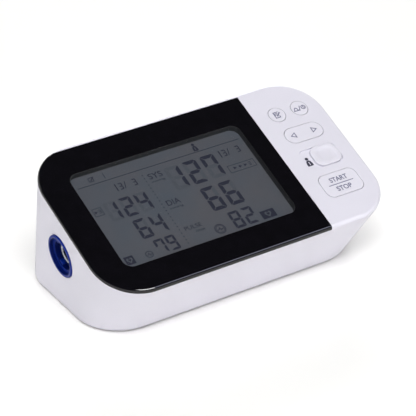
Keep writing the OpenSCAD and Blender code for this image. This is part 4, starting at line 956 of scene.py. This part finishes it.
# two circled pulse lines
circles = circle_loops(-37.8, -28.1, 2.35, 0.45)
circles += circle_loops(9.4, -27.2, 3.45, 0.5) + circle_loops(9.4, -27.2, 2.6, 0.35)
circles += stroke([(-39.2, -28.4), (-38.4, -28.4), (-37.9, -27.2), (-37.4, -29.0), (-36.9, -28.3),
                   (-36.3, -28.3)], 0.42)
circles += stroke([(7.6, -27.6), (8.6, -27.6), (9.2, -26.1), (9.8, -28.3), (10.3, -27.4), (11.3, -27.4)],
                  0.48)
show("display_circles", circles, SEGMENT_FAINT)

show("display_person", person(26.6, 31.2, 3.3, 6.0))
show("display_person_number", stroke([(26.6, 29.2), (26.6, 30.9)], 0.45), SLOT_MATERIALS["display_grey"],
     0.03, 0.04)
page = frame_loops(-44.2, 29.4, -41.0, 32.6, 0.42)
page += stroke([(-42.9, 30.3), (-40.7, 32.4)], 0.55)
page += stroke([(-34.1, 29.4), (-34.1, 32.8)], 0.45)
show("display_page", page, SEGMENT_FAINT)

# segments that are off, faintly seen beside the ones that are on
unlit = []
for text, row, first, parts in (
        ("1", SYSTOLIC, 2, "adefg"), ("2", SYSTOLIC, 1, "fc"), ("7", SYSTOLIC, 0, "ged"),
        ("66", DIASTOLIC, 0, "b"),
        ("1", SYSTOLIC_LAST, 2, "adefg"), ("2", SYSTOLIC_LAST, 1, "fc"), ("4", SYSTOLIC_LAST, 0, "aed"),
        ("6", DIASTOLIC_LAST, 1, "b")):
    unlit += number(text, row, first, parts)
show("display_unlit", unlit, SEGMENT_GHOST, SEGMENT_LOW, 0.012)

for name, text, box in (
        ("word_sys", "SYS", (-5.97, 20.9, 8.9, 4.1)), ("unit_sys", "mmHg", (-5.97, 16.7, 8.7, 1.75)),
        ("word_dia", "DIA", (-5.97, -0.05, 8.6, 3.9)), ("unit_dia", "mmHg", (-5.97, -4.3, 8.7, 1.75)),
        ("word_pulse", "PULSE", (-4.6, -20.0, 11.0, 2.8)), ("unit_pulse", "/min", (-1.8, -23.4, 5.9, 1.95))):
    words(name, text, box, glass_place, SEGMENT_HIGH, SEGMENT_FAINT, "case", "display_grey",
          DISPLAY_WORD_WEIGHT)

# ---------- floor ----------
FLOOR_HALF = 6
GLOW_FROM, GLOW_TO = 0.6, 1.8         # metres from the object
GLOW_NEAR, GLOW_FAR = 0.10, 0.9       # emission round the object, and far from it

floor_mesh = bpy.data.meshes.new("floor")
floor_mesh.from_pydata([(x, y, 0) for x, y in box_loop(-FLOOR_HALF, -FLOOR_HALF, FLOOR_HALF, FLOOR_HALF)],
                       [], [(0, 1, 2, 3)])
floor = add_object("floor", floor_mesh)
material, tree, shader = new_material("floor_white")
off_white = ramp(tree, noise(tree, 1.5, 1.0), (0.88, 0.875, 0.86), (0.9, 0.895, 0.88))
tree.links.new(off_white, shader.inputs["Base Color"])
shader.inputs["Roughness"].default_value = 0.95
shader.inputs["Specular IOR Level"].default_value = 0.0
shader.inputs["Emission Color"].default_value = (1, 0.995, 0.97, 1)
distance = tree.nodes.new("ShaderNodeVectorMath")
distance.operation = "LENGTH"
tree.links.new(tree.nodes.new("ShaderNodeTexCoord").outputs["Object"], distance.inputs[0])
glow = tree.nodes.new("ShaderNodeMapRange")
glow.inputs["From Min"].default_value = GLOW_FROM
glow.inputs["From Max"].default_value = GLOW_TO
glow.inputs["To Min"].default_value = GLOW_NEAR
glow.inputs["To Max"].default_value = GLOW_FAR
tree.links.new(distance.outputs["Value"], glow.inputs["Value"])
tree.links.new(glow.outputs["Result"], shader.inputs["Emission Strength"])
floor_mesh.materials.append(material)

# ---------- world: white round the horizon, dim above ----------
world = bpy.data.worlds.new("studio")
bpy.context.scene.world = world
world.use_nodes = True
tree = world.node_tree
direction = tree.nodes.new("ShaderNodeSeparateXYZ")
tree.links.new(tree.nodes.new("ShaderNodeTexCoord").outputs["Generated"], direction.inputs["Vector"])
sky = ramp(tree, direction.outputs["Z"], (1, 1, 1), (0.042, 0.043, 0.045), (0.08, 0.2))
background = tree.nodes["Background"]
tree.links.new(sky, background.inputs["Color"])
background.inputs["Strength"].default_value = 1.0

# ---------- lights ----------
LIGHT_TARGET = Vector((0, 0, 0.04))
LIGHT_DISTANCE = 2.4


def softbox(name, direction, width, height, power, colour=(1, 1, 1)):
    """Rectangular light that faces the object from a direction."""
    light = bpy.data.lights.new(name, "AREA")
    light.shape = "RECTANGLE"
    light.size = width
    light.size_y = height
    light.energy = power
    light.color = colour
    obj = add_object(name, light)
    d = Vector(direction).normalized()
    obj.location = LIGHT_TARGET + d * LIGHT_DISTANCE
    obj.rotation_mode = "QUATERNION"
    obj.rotation_quaternion = (-d).to_track_quat("-Z", "Y")
    return obj


softbox("front_top", (-0.25, -0.5, 0.83), 1.6, 1.2, 65).visible_glossy = False
# two cards that only the glossy edges mirror
softbox("front_glint", (0.16, -0.79, 0.56), 1.0, 0.7, 44).visible_diffuse = False
softbox("right_glint", (0.50, -0.64, 0.58), 0.8, 0.7, 9, (0.75, 0.78, 1.0)).visible_diffuse = False
softbox("back_right", (0.45, 0.85, 0.28), 1.4, 1.0, 41)
softbox("back_left", (-0.55, 0.78, 0.3), 1.4, 1.0, 3)

# ---------- camera, fitted to the photo's outline ----------
CAMERA_AT = (-0.54091, -0.84378, 0.62942)
CAMERA_RIGHT = (0.839058, -0.544033, -0.003092)
CAMERA_LOOK = (0.467802, 0.724366, -0.506414)

camera = add_object("camera", bpy.data.cameras.new("camera"))
camera.data.sensor_width = 36
camera.data.lens = 173.65
camera.data.clip_start = 0.05
camera.data.clip_end = 30
backward = Vector(CAMERA_LOOK).normalized() * -1
upward = backward.cross(Vector(CAMERA_RIGHT).normalized()).normalized()
rotation = Matrix((upward.cross(backward), upward, backward)).transposed().to_4x4()
camera.matrix_world = Matrix.Translation(CAMERA_AT) @ rotation
bpy.context.scene.camera = camera
bpy.context.scene.view_settings.view_transform = "Standard"
